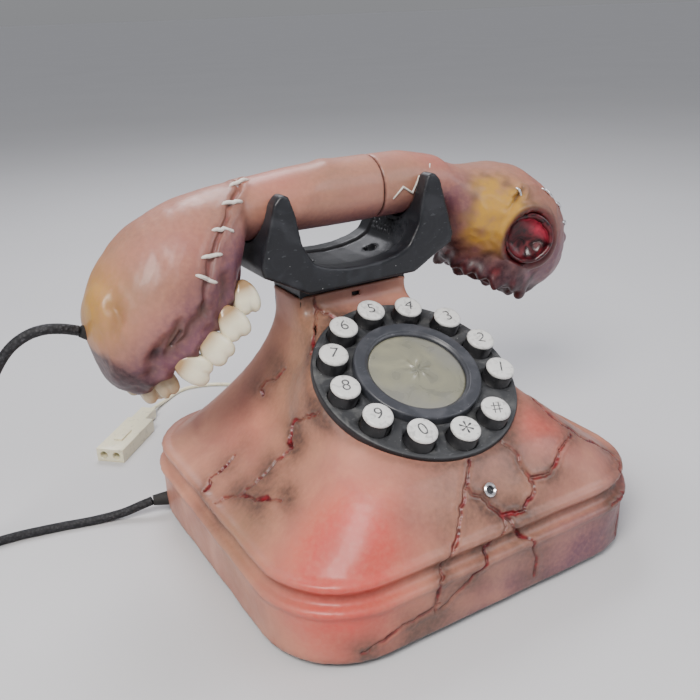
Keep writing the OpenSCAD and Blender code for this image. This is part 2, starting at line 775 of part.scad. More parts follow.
module ear_socket_liner() {
    color([0.55, 0.1, 0.12])
    at_socket() translate([0, 0, 1]) cup(socket_r, socket_deep + 1, 1.4);
}

module ear_speaker() {
    color([0.1, 0.1, 0.11])
    at_ear() {
        translate([0, 0, -ear_deep]) cylinder(h = 4, r = ear_mouth_r - 0.1, $fn = hole_n);
        translate([0, 0, -ear_deep + 4]) cylinder(h = 3, r = 15, $fn = hole_n);
    }
}

// Stitches over the scar: x, angle round the section from the front, half length
STITCHES = [[-57, 80], [-66, 49], [-76, 35], [-84, 23], [-89, 10]];
function section_at(sections, x, i = 0) =
    (x - sections[i][0]) * (x - sections[i + 1][0]) <= 0 || i >= len(sections) - 2
    ? let(t = (x - sections[i][0]) / (sections[i + 1][0] - sections[i][0]))
        sections[i] + t * (sections[i + 1] - sections[i])
    : section_at(sections, x, i + 1);
// Point on the skin at x, at angle a up from straight forward
function skin_point(sections, x, a, out) =
    let(s = section_at(sections, x), mid = hand_z + (s[1] - s[2]) / 2, rz = (s[1] + s[2]) / 2)
    [x, hand_y - cos(a) * (s[3] + out), mid + sin(a) * (rz + out)];
module stitch(p, l, turn, tilt) {
    translate(p) rotate([tilt, 0, 0]) rotate([0, turn, 0]) cube([l, 1.6, 1.6], center = true);
}
module scar_stitches() {
    color([0.92, 0.9, 0.86])
    for (s = STITCHES) stitch(skin_point(MOUTH_SECTIONS, s[0], s[1], 0), 11, 12, -s[1]);
}

STAPLES = [[103, 41], [128, 50], [143, 44], [145, 18]];
module ear_staples() {
    color([0.85, 0.85, 0.88])
    for (s = STAPLES) stitch(skin_point(EAR_SECTIONS, s[0], s[1], 0), 9, 58, -s[1]);
}

module gland_cone(r_out, r_in, l) {
    cylinder(h = l, r1 = r_out, r2 = r_in, $fn = 32);
}

module handset_gland() {
    color([0.05, 0.05, 0.05])
    translate(gland_tip) rotate([0, gland_lean, 0]) {
        translate([0, 0, -14]) cylinder(h = 8, r = 3.95, $fn = 32);
        translate([0, 0, -6]) gland_cone(3.95, cord_d / 2 + 0.4, 6);
    }
}

module base_gland() {
    color([0.05, 0.05, 0.05])
    translate(gland_pos) rotate([0, 90, gland_turn]) {
        translate([0, 0, -2.6]) cylinder(h = 2.6, r = 3.95, $fn = 32);
        gland_cone(3.95, cord_d / 2 + 0.4, 8);
    }
}

module lead_gland() {
    color([0.05, 0.05, 0.05])
    translate([lead_gland_x, base_d / 2, gland_z]) rotate([-90, 0, 0]) {
        translate([0, 0, -5]) cylinder(h = 5, r = 2.5, $fn = 32);
        gland_cone(2.5, lead_d / 2 + 0.3, 5);
    }
}

// ---- cords ----

// Smooth run through the route's points, k steps to each span
function smooth_run(p, k) = concat([
    for (i = [0:len(p) - 2]) for (j = [0:k - 1])
    let(t = j / k, a = p[max(0, i - 1)], b = p[i], c = p[i + 1], d = p[min(len(p) - 1, i + 2)])
    0.5 * (2 * b + (c - a) * t + (2 * a - 5 * b + 4 * c - d) * t * t + (3 * b - a - 3 * c + d) * t * t * t)
], [p[len(p) - 1]]);
function unit(v) = v / norm(v);
function heading(p, i) = unit(p[min(len(p) - 1, i + 1)] - p[max(0, i - 1)]);
function carried(p, side, i) =
    i >= len(p) ? [] : let(t = heading(p, i), s = unit(side - (side * t) * t)) concat([s], carried(p, s, i + 1));
module tube_along(p, r, sides, side) {
    s = carried(p, side, 0);
    loft([
        for (i = [0:len(p) - 1])
        let(t = heading(p, i), u = cross(t, s[i]))
        [for (j = [0:sides - 1]) let(a = 360 * j / sides) p[i] + r * (cos(a) * s[i] + sin(a) * u)]
    ]);
}

CORD_ROUTE = [
    [-141.8, 42, 128.9], [-149, 42, 131.5], [-157, 43, 132.5], [-165, 45, 130.5], [-173, 47, 125],
    [-180, 49, 115.5], [-186, 52, 102], [-192, 56, 84], [-199, 62, 62], [-208, 70, 40], [-220, 80, 20],
    [-234, 90, 7.5], [-250, 97, 3], [-267, 101, 2.5], [-282, 99, 2.5], [-291, 90, 2.5], [-288, 79, 2.5],
    [-274, 74, 2.5], [-254, 77, 2.5], [-230, 84, 2.5], [-206, 89, 2.5], [-185, 89, 2.5], [-163, 85, 2.5],
    [-143, 80, 2.5], [-128, 76, 4], [-118, 73, 7], [-111.3, 71, 9]
];
LEAD_ROUTE = [
    [-73, 192.4, 4.5], [-66, 199.6, 3.4], [-56, 209, 1.6], [-38, 221, 1.3], [-20, 219, 1.3], [-4, 209, 1.3],
    [8, 192, 1.3], [15, 172, 1.3], [19, 150, 1.3], [20, 132, 1.6], [20, 118, 4.5], [20, 110, 7.5], [20, 105, 9]
];
module handset_cord() {
    color([0.04, 0.04, 0.04]) tube_along(smooth_run(CORD_ROUTE, 2), cord_d / 2, 8, [0, 1, 0]);
}
module plug_lead() {
    color([0.88, 0.85, 0.72]) tube_along(smooth_run(LEAD_ROUTE, 3), lead_d / 2, 8, [0, 0, 1]);
}

plug_turn = 46;
module plug_body() {
    color([0.93, 0.9, 0.78])
    translate([-99.5, 161, 0]) rotate([0, 0, plug_turn])
    difference() {
        union() {
            translate([-22, -9.3, 0]) cube([45, 18.6, 9]);
            translate([23, -2.5, 1]) cube([18, 10.5, 7]);
            translate([-10, -3, 9]) cube([14, 6, 1.2]);
        }
        for (y = [-4.4, 4.4]) translate([-24, y, 4.5]) rotate([0, 90, 0]) cylinder(h = 12, r = 2.6, $fn = 32);
    }
}

body_shell();
base_plate();
rubber_feet();
base_screws();
battery_box();
battery_cells();
battery_contacts();
battery_door();
battery_door_screw();
main_board();
board_screws();
speaker_basket();
speaker_cone();
speaker_magnet();
mode_switch_body();
mode_switch_slider();
dial_plate();
bezel_ring();
window_lens();
dial_lamp();
keypad_mat();
keypad_board();
push_button(0);  // button_1
push_button(1);  // button_2
push_button(2);  // button_3
push_button(3);  // button_4
push_button(4);  // button_5
push_button(5);  // button_6
push_button(6);  // button_7
push_button(7);  // button_8
push_button(8);  // button_9
push_button(9);  // button_0
push_button(10);  // button_star
push_button(11);  // button_hash
sensor_eyelet();
sensor_capsule();
hook_tower();
hook_switch();
hook_spring();
cradle_post();
cradle();
cradle_screws();
handset_mouth_half();
handset_ear_half();
mouth_liner();
upper_teeth();
lower_teeth();
ear_socket_liner();
ear_speaker();
scar_stitches();
ear_staples();
handset_gland();
base_gland();
handset_cord();
lead_gland();
plug_lead();
plug_body();
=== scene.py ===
import math

import bmesh
import bpy
import numpy as np
from mathutils import Matrix, Vector
from mathutils.bvhtree import BVHTree
from mathutils.kdtree import KDTree


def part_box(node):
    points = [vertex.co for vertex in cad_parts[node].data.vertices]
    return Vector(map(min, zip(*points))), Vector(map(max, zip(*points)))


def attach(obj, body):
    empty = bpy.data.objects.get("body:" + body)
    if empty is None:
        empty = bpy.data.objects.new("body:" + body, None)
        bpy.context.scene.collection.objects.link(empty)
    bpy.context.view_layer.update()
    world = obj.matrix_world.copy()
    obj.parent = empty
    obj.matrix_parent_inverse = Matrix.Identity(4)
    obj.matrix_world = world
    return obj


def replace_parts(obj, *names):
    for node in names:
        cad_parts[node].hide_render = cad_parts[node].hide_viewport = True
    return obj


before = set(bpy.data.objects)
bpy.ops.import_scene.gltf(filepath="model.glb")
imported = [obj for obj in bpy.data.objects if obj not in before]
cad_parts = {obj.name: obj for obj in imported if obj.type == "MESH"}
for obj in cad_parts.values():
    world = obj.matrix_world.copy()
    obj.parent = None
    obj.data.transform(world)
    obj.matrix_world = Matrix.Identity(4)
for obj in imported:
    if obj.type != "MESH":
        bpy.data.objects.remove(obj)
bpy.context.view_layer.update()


# ---- Camera, floor and studio light ----
# A visitor stands in front of the telephone, a little to the left, and looks down on the dial.
# The floor is plain and pale, and three soft lamps stand round the table.

def mm(x, y, z):
    return Vector((x, y, z)) / 1000


def shown(obj):
    bpy.context.scene.collection.objects.link(obj)
    return obj


def turned_to(azimuth, elevation, roll=0):
    """Looking in from this side and height, in degrees."""
    flat = Matrix.Rotation(math.radians(azimuth), 4, "Z")
    raised = Matrix.Rotation(math.radians(90 - elevation), 4, "X")
    return flat @ raised @ Matrix.Rotation(math.radians(roll), 4, "Z")


EYE = (-217.3, -336.9, 264.3)
EYE_AZIMUTH, EYE_ELEVATION, EYE_ROLL = -30.52, 22.36, -2.01
camera_data = bpy.data.cameras.new("camera")
camera_data.lens = 42.48
camera_data.clip_start = 0.01
camera = shown(bpy.data.objects.new("camera", camera_data))
camera.matrix_world = Matrix.Translation(mm(*EYE)) @ turned_to(EYE_AZIMUTH, EYE_ELEVATION, EYE_ROLL)
bpy.context.scene.camera = camera


LAMP_AIM = 80


def soft_lamp(name, azimuth, elevation, distance, size, power, colour):
    """A round soft lamp this many metres from a point over the middle of the telephone."""
    data = bpy.data.lights.new(name, "AREA")
    data.shape = "DISK"
    data.size = size
    data.energy = power
    data.color = colour
    lamp = shown(bpy.data.objects.new(name, data))
    turn = turned_to(azimuth, elevation)
    lamp.matrix_world = Matrix.Translation(turn @ Vector((0, 0, distance)) + mm(0, 0, LAMP_AIM)) @ turn


soft_lamp("key_lamp", -52, 48, 1.1, 0.5, 14.5, (1.0, 0.96, 0.92))
soft_lamp("fill_lamp", 48, 30, 1.3, 0.8, 5.5, (0.92, 0.94, 1.0))
soft_lamp("back_lamp", 165, 52, 1.2, 0.6, 9, (0.95, 0.95, 1.0))

# The room is brighter overhead than at the horizon, so the floor runs into it with no line.
world = bpy.data.worlds.new("studio")
world.use_nodes = True
sky = world.node_tree
heights = sky.nodes.new("ShaderNodeSeparateXYZ")
ramp = sky.nodes.new("ShaderNodeValToRGB")
ramp.color_ramp.elements[0].color = (0.265, 0.268, 0.280, 1)
ramp.color_ramp.elements[1].color = (0.52, 0.525, 0.55, 1)
sky.links.new(sky.nodes.new("ShaderNodeTexCoord").outputs["Generated"], heights.inputs["Vector"])
sky.links.new(heights.outputs["Z"], ramp.inputs["Fac"])
sky.links.new(ramp.outputs["Color"], sky.nodes["Background"].inputs["Color"])
bpy.context.scene.world = world


def linked(mat, kind, **inputs):
    """A node of this kind, with its named inputs set to a value or joined to a socket."""
    node = mat.node_tree.nodes.new("ShaderNode" + kind)
    for name, value in inputs.items():
        socket = node.inputs[name.replace("_", " ")]
        if isinstance(value, bpy.types.NodeSocket):
            mat.node_tree.links.new(value, socket)
        else:
            socket.default_value = value
    return node


def join(mat, source, target):
    mat.node_tree.links.new(source, target)


def new_finish(name, roughness=0.5, metallic=0.0, coat=0.0, specular=0.5):
    """A material with its shader, and the object's own coordinates for its pattern."""
    mat = bpy.data.materials.new(name)
    mat.use_nodes = True
    shader = mat.node_tree.nodes["Principled BSDF"]
    shader.inputs["Roughness"].default_value = roughness
    shader.inputs["Metallic"].default_value = metallic
    shader.inputs["Coat Weight"].default_value = coat
    shader.inputs["Coat Roughness"].default_value = 0.15
    shader.inputs["Specular IOR Level"].default_value = specular
    place = mat.node_tree.nodes.new("ShaderNodeTexCoord").outputs["Object"]
    return mat, shader, place


def grain(mat, place, scale, detail=4, distortion=0.0):
    """Cloudy noise from 0 to 1 with about this many clouds to the metre."""
    node = linked(mat, "TexNoise", Vector=place, Scale=scale, Detail=detail, Distortion=distortion)
    return node.outputs["Fac"]


def spread(mat, value, low, high, out_low=0.0, out_high=1.0):
    """The part of value between low and high, stretched to a new range."""
    node = mat.node_tree.nodes.new("ShaderNodeMapRange")
    join(mat, value, node.inputs["Value"])
    for name, number in (("From Min", low), ("From Max", high), ("To Min", out_low), ("To Max", out_high)):
        node.inputs[name].default_value = number
    return node.outputs["Result"]


def tinted(mat, amount, first, second):
    """first where amount is 0 and second where it is 1. Either is a colour or a socket."""
    node = mat.node_tree.nodes.new("ShaderNodeMix")
    node.data_type = "RGBA"
    join(mat, amount, node.inputs[0])
    for socket, value in ((node.inputs[6], first), (node.inputs[7], second)):
        if isinstance(value, bpy.types.NodeSocket):
            join(mat, value, socket)
        else:
            socket.default_value = (*value, 1)
    return node.outputs[2]


def times(mat, first, second):
    node = mat.node_tree.nodes.new("ShaderNodeMath")
    node.operation = "MULTIPLY"
    for socket, value in ((node.inputs[0], first), (node.inputs[1], second)):
        if isinstance(value, bpy.types.NodeSocket):
            join(mat, value, socket)
        else:
            socket.default_value = value
    return node.outputs[0]


def painted_layer(mat, name, strength=1.0):
    """The numbers painted on the mesh under this name, times the strength and kept from 0 to 1."""
    node = mat.node_tree.nodes.new("ShaderNodeAttribute")
    node.attribute_name = name
    return linked(mat, "Clamp", Value=times(mat, node.outputs["Fac"], strength)).outputs["Result"]


def lit_through(shader, weight, radius):
    """Lets light scatter below the surface, as in latex, nylon and resin."""
    shader.inputs["Subsurface Weight"].default_value = weight
    shader.inputs["Subsurface Radius"].default_value = radius


def bumped(mat, shader, heights):
    """Adds each (height, strength, depth in metres) to the shader's normal, one over another."""
    normal = None
    for height, strength, depth in heights:
        node = linked(mat, "Bump", Height=height, Strength=strength, Distance=depth)
        if normal is not None:
            join(mat, normal, node.inputs["Normal"])
        normal = node.outputs["Normal"]
    join(mat, normal, shader.inputs["Normal"])


def floor_paper():
    mat, shader, place = new_finish("floor_paper", roughness=0.8)
    cloud = grain(mat, place, 3)
    join(mat, tinted(mat, cloud, (0.56, 0.56, 0.575), (0.61, 0.61, 0.625)), shader.inputs["Base Color"])
    return mat


def piece(name, bm, finish, body, smooth=True):
    """Turns a bmesh into an object at the origin that rides on a body."""
    mesh = bpy.data.meshes.new(name)
    bm.to_mesh(mesh)
    bm.free()
    mesh.materials.append(finish)
    if smooth:
        mesh.shade_smooth()
    obj = shown(bpy.data.objects.new(name, mesh))
    if body:
        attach(obj, body)
    return obj


floor_shape = bmesh.new()
bmesh.ops.create_grid(floor_shape, x_segments=2, y_segments=2, size=60)
piece("floor", floor_shape, floor_paper(), None, smooth=False)


# ---- Cords ----
# The handset cord is a black braided cord of 5 mm. It leaves the handset's left end, hangs to the table
# and runs in one loose loop to the plinth. A thin pale lead ends in a nylon connector.

CORD_ROUTE = [
    (-141.8, 42, 128.9), (-149, 42, 131.5), (-157, 43, 132.5), (-165, 45, 130.5), (-173, 47, 125),
    (-180, 49, 115.5), (-186, 52, 102), (-192, 56, 84), (-199, 62, 62), (-208, 70, 40), (-220, 80, 20),
    (-234, 90, 7.5), (-250, 97, 3), (-267, 101, 2.5), (-282, 99, 2.5), (-291, 90, 2.5), (-288, 79, 2.5),
    (-274, 74, 2.5), (-254, 77, 2.5), (-230, 84, 2.5), (-206, 89, 2.5), (-185, 89, 2.5), (-163, 85, 2.5),
    (-143, 80, 2.5), (-128, 76, 4), (-118, 73, 7), (-111.3, 71, 9),
]
LEAD_ROUTE = [
    (20, 105, 9), (20, 110, 7.5), (20, 118, 4.5), (20, 132, 1.6), (19, 150, 1.3), (15, 172, 1.3),
    (8, 192, 1.3), (-4, 209, 1.3), (-20, 219, 1.3), (-38, 221, 1.3), (-56, 209, 1.6),
    (-66, 199.6, 3.4), (-73, 192.4, 4.5), (-79, 184, 4.5), (-86, 176.5, 4.5),
]


def smooth_run(route, steps):
    """Points in metres on one smooth line through the route, with this many steps to a span."""
    points = [mm(*p) for p in route]
    run = []
    for i in range(len(points) - 1):
        a, b, c = points[max(0, i - 1)], points[i], points[i + 1]
        d = points[min(len(points) - 1, i + 2)]
        for k in range(steps):
            t = k / steps
            run.append(0.5 * (2 * b + (c - a) * t + (2 * a - 5 * b + 4 * c - d) * t ** 2
                              + (3 * b - a - 3 * c + d) * t ** 3))
    return run + [points[-1]]


def curve_shape(data):
    """The surface of a curve or of print, as a bmesh with no doubled points."""
    holder = shown(bpy.data.objects.new("curve", data))
    mesh = bpy.data.meshes.new_from_object(holder.evaluated_get(bpy.context.evaluated_depsgraph_get()))
    bpy.data.objects.remove(holder)
    bm = bmesh.new()
    bm.from_mesh(mesh)
    bmesh.ops.remove_doubles(bm, verts=bm.verts, dist=1e-6)
    return bm


def tube(run, radius, sides=12, thin_ends=False):
    """A round closed tube along the run. With thin ends it swells from each end to the middle."""
    data = bpy.data.curves.new("tube", "CURVE")
    data.dimensions = "3D"
    data.bevel_depth = radius
    data.bevel_resolution = sides // 4 - 1
    data.use_fill_caps = True
    line = data.splines.new("POLY")
    line.points.add(len(run) - 1)
    for k, (point, at) in enumerate(zip(line.points, run)):
        point.co = (*at, 1)
        if thin_ends:
            point.radius = 0.45 + 0.55 * math.sin(math.pi * k / (len(run) - 1)) ** 0.5
    bm = curve_shape(data)
    bmesh.ops.recalc_face_normals(bm, faces=bm.faces)
    return bm


def braided_cover():
    mat, shader, place = new_finish("braided_cover", roughness=0.62, specular=0.35)
    fine = grain(mat, place, 900, 3)
    cells = linked(mat, "TexVoronoi", Vector=place, Scale=620)
    strands = spread(mat, cells.outputs["Distance"], 0.1, 0.7)
    shade = tinted(mat, strands, (0.030, 0.030, 0.034), (0.008, 0.008, 0.010))
    fluff = spread(mat, fine, 0.62, 0.8)
    join(mat, tinted(mat, fluff, shade, (0.10, 0.10, 0.11)), shader.inputs["Base Color"])
    bumped(mat, shader, [(strands, 0.6, 0.0004), (fine, 0.3, 0.0002)])
    return mat


def nylon(name, colour):
    mat, shader, place = new_finish(name, roughness=0.38, coat=0.1)
    cloud = grain(mat, place, 60)
    dirt = spread(mat, grain(mat, place, 240, 6), 0.56, 0.78)
    dull = tuple(0.62 * c for c in colour)
    clean = tinted(mat, cloud, colour, tuple(0.88 * c for c in colour))
    join(mat, tinted(mat, dirt, clean, dull), shader.inputs["Base Color"])
    join(mat, spread(mat, dirt, 0, 1, 0.34, 0.6), shader.inputs["Roughness"])
    lit_through(shader, 0.15, (0.003, 0.002, 0.001))
    bumped(mat, shader, [(grain(mat, place, 900), 0.12, 0.0003)])
    return mat


CORD_D, LEAD_D = 0.005, 0.0026
cream_nylon = nylon("cream_nylon", (0.82, 0.77, 0.56))
cord_run = smooth_run(CORD_ROUTE, 6)
lead_run = smooth_run(LEAD_ROUTE, 5)
cord = piece("handset_cord_braid", tube(cord_run, CORD_D / 2, 16), braided_cover(), "base")
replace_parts(cord, "handset_cord")
lead = piece("plug_lead_wire", tube(lead_run, LEAD_D / 2), cream_nylon, "base")
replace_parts(lead, "plug_lead")


def softened(name, node, width, finish, body, segments=3):
    """The CAD node's own shape with its edges rounded, as they leave the mould."""
    bm = bmesh.new()
    bm.from_mesh(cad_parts[node].data)
    bmesh.ops.remove_doubles(bm, verts=bm.verts, dist=1e-5)
    bmesh.ops.dissolve_limit(bm, angle_limit=math.radians(2), verts=bm.verts, edges=bm.edges)
    obj = piece(name, bm, finish, body)
    bevel = obj.modifiers.new("round_edges", "BEVEL")
    bevel.width = width
    bevel.segments = segments
    bevel.limit_method = "ANGLE"
    bevel.angle_limit = math.radians(35)
    bevel.harden_normals = True
    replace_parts(obj, node)
    return obj


plug = softened("connector_housing", "plug_body", 0.0006, cream_nylon, "base")


# ---- Body skin ----
# The stepped plinth and flared body are one hollow moulding with a latex-look skin. Two rounded lips
# run round the plinth, and the dial stands on a round shoulder. Cracks are cut in and painted wet red.

BASE_W, BASE_D, CORNER = 209, 200, 42
TIER_B = 44
COLLAR_W, COLLAR_FRONT, COLLAR_BACK, COLLAR_TOP = 68.8, 23.8, 57.0, 128
NECK = 12
DIAL_Y, DIAL_Z, DIAL_TILT = -31.6, 96.2, 25
PLATE_T = 3

# inset from the plinth's outline and height, from the foot up over both lips
PLINTH_PROFILE = [
    (1.0, 3.0), (0.1, 4.2), (0, 12), (0, 24), (0, 27.6), (-0.9, 28.6), (-1.9, 29.8), (-2.2, 30.8),
    (-1.8, 32.2), (-0.4, 33.0), (1.8, 33.0), (3.4, 32.8), (4.0, 33.6), (4.0, 36), (4.0, 38.4),
    (3.2, 39.2), (1.6, 39.8), (0.7, 41.0), (0.6, 42.4), (1.6, 43.8), (3.4, 44.2), (5.2, 43.8), (6.3, 43.2),
]


def plan_loop(bm, half_w, front, back, radius, z, steps=9):
    """One closed loop of edges: a rectangle with round corners, seen from above."""
    verts = []
    corners = ((half_w - radius, back - radius, 0), (radius - half_w, back - radius, 90),
               (radius - half_w, front + radius, 180), (half_w - radius, front + radius, 270))
    for cx, cy, start in corners:
        for i in range(steps + 1):
            a = math.radians(start + 90 * i / steps)
            verts.append(bm.verts.new(mm(cx + radius * math.cos(a), cy + radius * math.sin(a), z)))
    return [bm.edges.new((verts[i - 1], verts[i])) for i in range(len(verts))]


def skinned(bm, loops):
    """Bridges each loop to the next and closes both ends."""
    for low, high in zip(loops, loops[1:]):
        bmesh.ops.bridge_loops(bm, edges=low + high)
    for end in (loops[0], loops[-1]):
        bmesh.ops.edgeloop_fill(bm, edges=end)
    bmesh.ops.recalc_face_normals(bm, faces=bm.faces)


def flare(z):
    """1 where the flare meets the plinth, falling to 0 at the neck."""
    return max(0, 1 - (z - TIER_B) / (COLLAR_TOP - TIER_B - NECK)) ** 1.6


def body_front(z):
    """How far forward the flare reaches at this height: the brow low down, the dial's slope above."""
    tilt = math.radians(DIAL_TILT)
    slope = DIAL_Y + (z - DIAL_Z) / math.tan(tilt) + 2.1 / math.sin(tilt)
    brow = 4 - BASE_D / 2 + 18 * (max(0, z - TIER_B) / 30) ** 1.4
    return min(COLLAR_FRONT, max(brow, slope))


def body_stack(profile, inset, low, high, count):
    """The plinth and flared body as one closed stack of loops, the flare drawn in by inset."""
    bm = bmesh.new()
    loops = [plan_loop(bm, BASE_W / 2 - out, out - BASE_D / 2, BASE_D / 2 - out, CORNER - out, z)
             for out, z in profile]
    for i in range(count + 1):
        z = low + (high - low) * (i / count) ** 1.3
        f = flare(z)
        radius = max(2, 5 + 31 * f ** 0.7 - inset)
        half_w = COLLAR_W / 2 + (BASE_W / 2 - 6.5 - COLLAR_W / 2) * f - inset
        back = COLLAR_BACK + (BASE_D / 2 - 7 - COLLAR_BACK) * f - inset
        loops.append(plan_loop(bm, half_w, body_front(z) + inset * 1.5, back, radius, z))
    skinned(bm, loops)
    return bm


def on_dial(bm, verts):
    """Puts what was made flat and upright onto the dial's slope."""
    place = Matrix.Translation(mm(0, DIAL_Y, DIAL_Z)) @ Matrix.Rotation(math.radians(DIAL_TILT), 4, "X")
    bmesh.ops.transform(bm, matrix=place, verts=verts)


def disc(bm, low, high, r_low, r_high, segments=96):
    """A round bar from low to high, in millimetres, on the bmesh's own upright axis."""
    made = bmesh.ops.create_cone(bm, cap_ends=True, segments=segments, radius1=r_low / 1000,
                                 radius2=r_high / 1000, depth=(high - low) / 1000)
    bmesh.ops.translate(bm, vec=mm(0, 0, (low + high) / 2), verts=made["verts"])
    return made["verts"]


def block(bm, low, high):
    made = bmesh.ops.create_cube(bm, size=1)
    a, b = mm(*low), mm(*high)
    bmesh.ops.scale(bm, vec=b - a, verts=made["verts"])
    bmesh.ops.translate(bm, vec=(a + b) / 2, verts=made["verts"])
    return made["verts"]


def finished_mesh(bm, *settings):
    """The bmesh with these modifiers applied, as a new bmesh."""
    mesh = bpy.data.meshes.new("work")
    bm.to_mesh(mesh)
    bm.free()
    holder = shown(bpy.data.objects.new("work", mesh))
    for kind, values in settings:
        modifier = holder.modifiers.new(kind.lower(), kind)
        for name, value in values.items():
            setattr(modifier, name, value)
    done = bmesh.new()
    done.from_object(holder, bpy.context.evaluated_depsgraph_get())
    bpy.data.objects.remove(holder)
    return done


def moulded(bm, voxel):
    """One clean closed skin round everything in the bmesh, with squares of this size."""
    return finished_mesh(bm, ("REMESH", {"mode": "VOXEL", "voxel_size": voxel}))


def cut(bm, cutter):
    """Takes the cutter's shape out of the bmesh."""
    mesh = bpy.data.meshes.new("cutter")
    cutter.to_mesh(mesh)
    cutter.free()
    tool = shown(bpy.data.objects.new("cutter", mesh))
    settings = {"operation": "DIFFERENCE", "solver": "MANIFOLD", "object": tool}
    done = finished_mesh(bm, ("BOOLEAN", settings))
    bpy.data.objects.remove(tool)
    return done


def soften(bm, verts, times_over, factor=0.5):
    for _ in range(times_over):
        bmesh.ops.smooth_vert(bm, verts=verts, factor=factor,
                              use_axis_x=True, use_axis_y=True, use_axis_z=True)


def places(bm):
    """Every vertex position, in millimetres."""
    return np.array([v.co[:] for v in bm.verts]) * 1000


def directions(bm):
    bm.normal_update()
    return np.array([v.normal[:] for v in bm.verts])


def ripple(points, size, seed):
    """Smooth wandering values between about -1 and 1, with waves of this many millimetres."""
    rng = np.random.default_rng(seed)
    total = np.zeros(len(points))
    for _ in range(6):
        wave = rng.normal(size=3)
        wave *= 2 * math.pi / size / np.linalg.norm(wave) * rng.uniform(0.7, 1.4)
        total += np.sin(points @ wave + rng.uniform(0, 6.28))
    return total / 3


def traced(skin, routes, jog=0.8):
    """Close-set points along each route, jogged a little and laid on the skin, in millimetres."""
    tree = BVHTree.FromBMesh(skin)
    points = []
    for route in routes:
        for a, b in zip(route, route[1:]):
            steps = max(2, int((Vector(b) - Vector(a)).length / 0.35))
            points += [Vector(a).lerp(Vector(b), k / steps) for k in range(steps)]
    flat = np.array(points)
    flat += jog * np.stack([ripple(flat, 9, seed) for seed in (3, 4, 5)], axis=1)
    flat += 0.4 * jog * np.stack([ripple(flat, 3.4, seed) for seed in (13, 14, 15)], axis=1)
    return [tree.find_nearest(Vector(point) / 1000)[0] for point in flat]


def gap_to(bm, trace):
    """Distance in millimetres from each vertex to the nearest point of the trace."""
    tree = KDTree(len(trace))
    for i, point in enumerate(trace):
        tree.insert(point, i)
    tree.balance()
    return np.array([tree.find(v.co)[2] for v in bm.verts]) * 1000


def distance_to(points, route):
    """Distance in millimetres from each point to a route of straight stretches."""
    nearest = np.full(len(points), 1e9)
    for a, b in zip(np.array(route[:-1], float), np.array(route[1:], float)):
        along = np.clip((points - a) @ (b - a) / max(1e-9, (b - a) @ (b - a)), 0, 1)
        nearest = np.minimum(nearest, np.linalg.norm(points - a - along[:, None] * (b - a), axis=1))
    return nearest


def spot(points, centre, radius):
    """1 at the centre of a soft round spot, and 0 well outside it."""
    return np.exp(-(np.linalg.norm(points - np.array(centre, float), axis=1) / radius) ** 2)


def sprayed(points, spots):
    """The sum of soft round spots, each given as its strength, centre and radius."""
    return sum(strength * spot(points, centre, radius) for strength, centre, radius in spots)


def shifted(bm, move):
    """Moves each vertex by its own row of move, in millimetres."""
    for v, m in zip(bm.verts, move / 1000):
        v.co += Vector(m)


def refined(bm, near, cuts=1):
    """Splits the faces whose corners are all near into smaller ones."""
    bm.verts.ensure_lookup_table()
    edges = [e for e in bm.edges if near[e.verts[0].index] and near[e.verts[1].index]]
    bmesh.ops.subdivide_edges(bm, edges=edges, cuts=cuts, use_grid_fill=True, smooth=0)
    bm.verts.index_update()


# each crack as the skin shows it, one point at each turn
CRACKS = [
    [(-56, -30, 91), (-56, -11, 78), (-61, -14, 71), (-64, -20, 68), (-73, -16, 60), (-78, -16, 55),
     (-88, -13, 47), (-95, -4, 43), (-101, -4, 42)],
    [(-89, -14, 47), (-84, -28, 51), (-80, -40, 56)],
    [(-80, 12, 54), (-87, 12, 48), (-94, 15, 44), (-101, 8, 42)],
    [(-25, 24, 127), (-24, 23.8, 120), (-20, 19, 118), (-18, 15, 116)],
    [(-24, 23.8, 120), (-32, 12, 114), (-36, 8, 111), (-42, 3, 109)],
    [(-46, 22, 91), (-54, 31, 82), (-56, 32, 80), (-57, 26, 77)],
    [(-3, -79, 71), (-12, -85, 64), (-17, -90, 56), (-23, -94, 46), (-29, -99, 41), (-33, -98, 36),
     (-36, -102, 31), (-38, -100, 15)],
    [(-12, -85, 64), (-5, -90, 56), (4, -93, 47), (16, -94, 45), (24, -92, 51), (25, -90, 57), (22, -87, 62),
     (22, -82, 68), (18, -76, 72)],
    [(24, -90, 57), (29, -90, 57), (36, -90, 57), (44, -88, 61), (47, -85, 64), (60, -78, 65)],
    [(56, -54, 77), (55, -66, 74), (59, -74, 69), (68, -78, 61), (84, -78, 49), (90, -80, 45), (89, -87, 44),
     (84, -92, 43), (84, -97, 36), (86, -98, 31), (84, -98, 18), (83, -98, 6)],
    [(86, -98, 31), (78, -101, 32), (70, -101, 33)],
    [(4, -93, 47), (2, -99, 42), (-6, -97, 36), (-12, -102, 31), (-20, -100, 24), (-36, -100, 15)],
    [(4, -93, 47), (8, -99, 41), (13, -97, 34), (18, -102, 31), (21, -100, 20), (21, -100, 9)],
    [(-36, -100, 18), (-42, -100, 17), (-56, -100, 16), (-66, -100, 13), (-76, -98, 9)],
    [(60, 60, 79), (70, 66, 66), (78, 60, 58), (88, 64, 47), (96, 70, 42), (104, 62, 34), (105, 55, 20)],
    [(-20, 58, 118), (-24, 64, 104), (-18, 70, 90), (-28, 80, 68), (-24, 90, 50), (-34, 100, 40),
     (-36, 102, 30), (-30, 100, 12)],
    [(-18, 70, 90), (-6, 76, 78), (4, 84, 64), (2, 92, 50)],
]

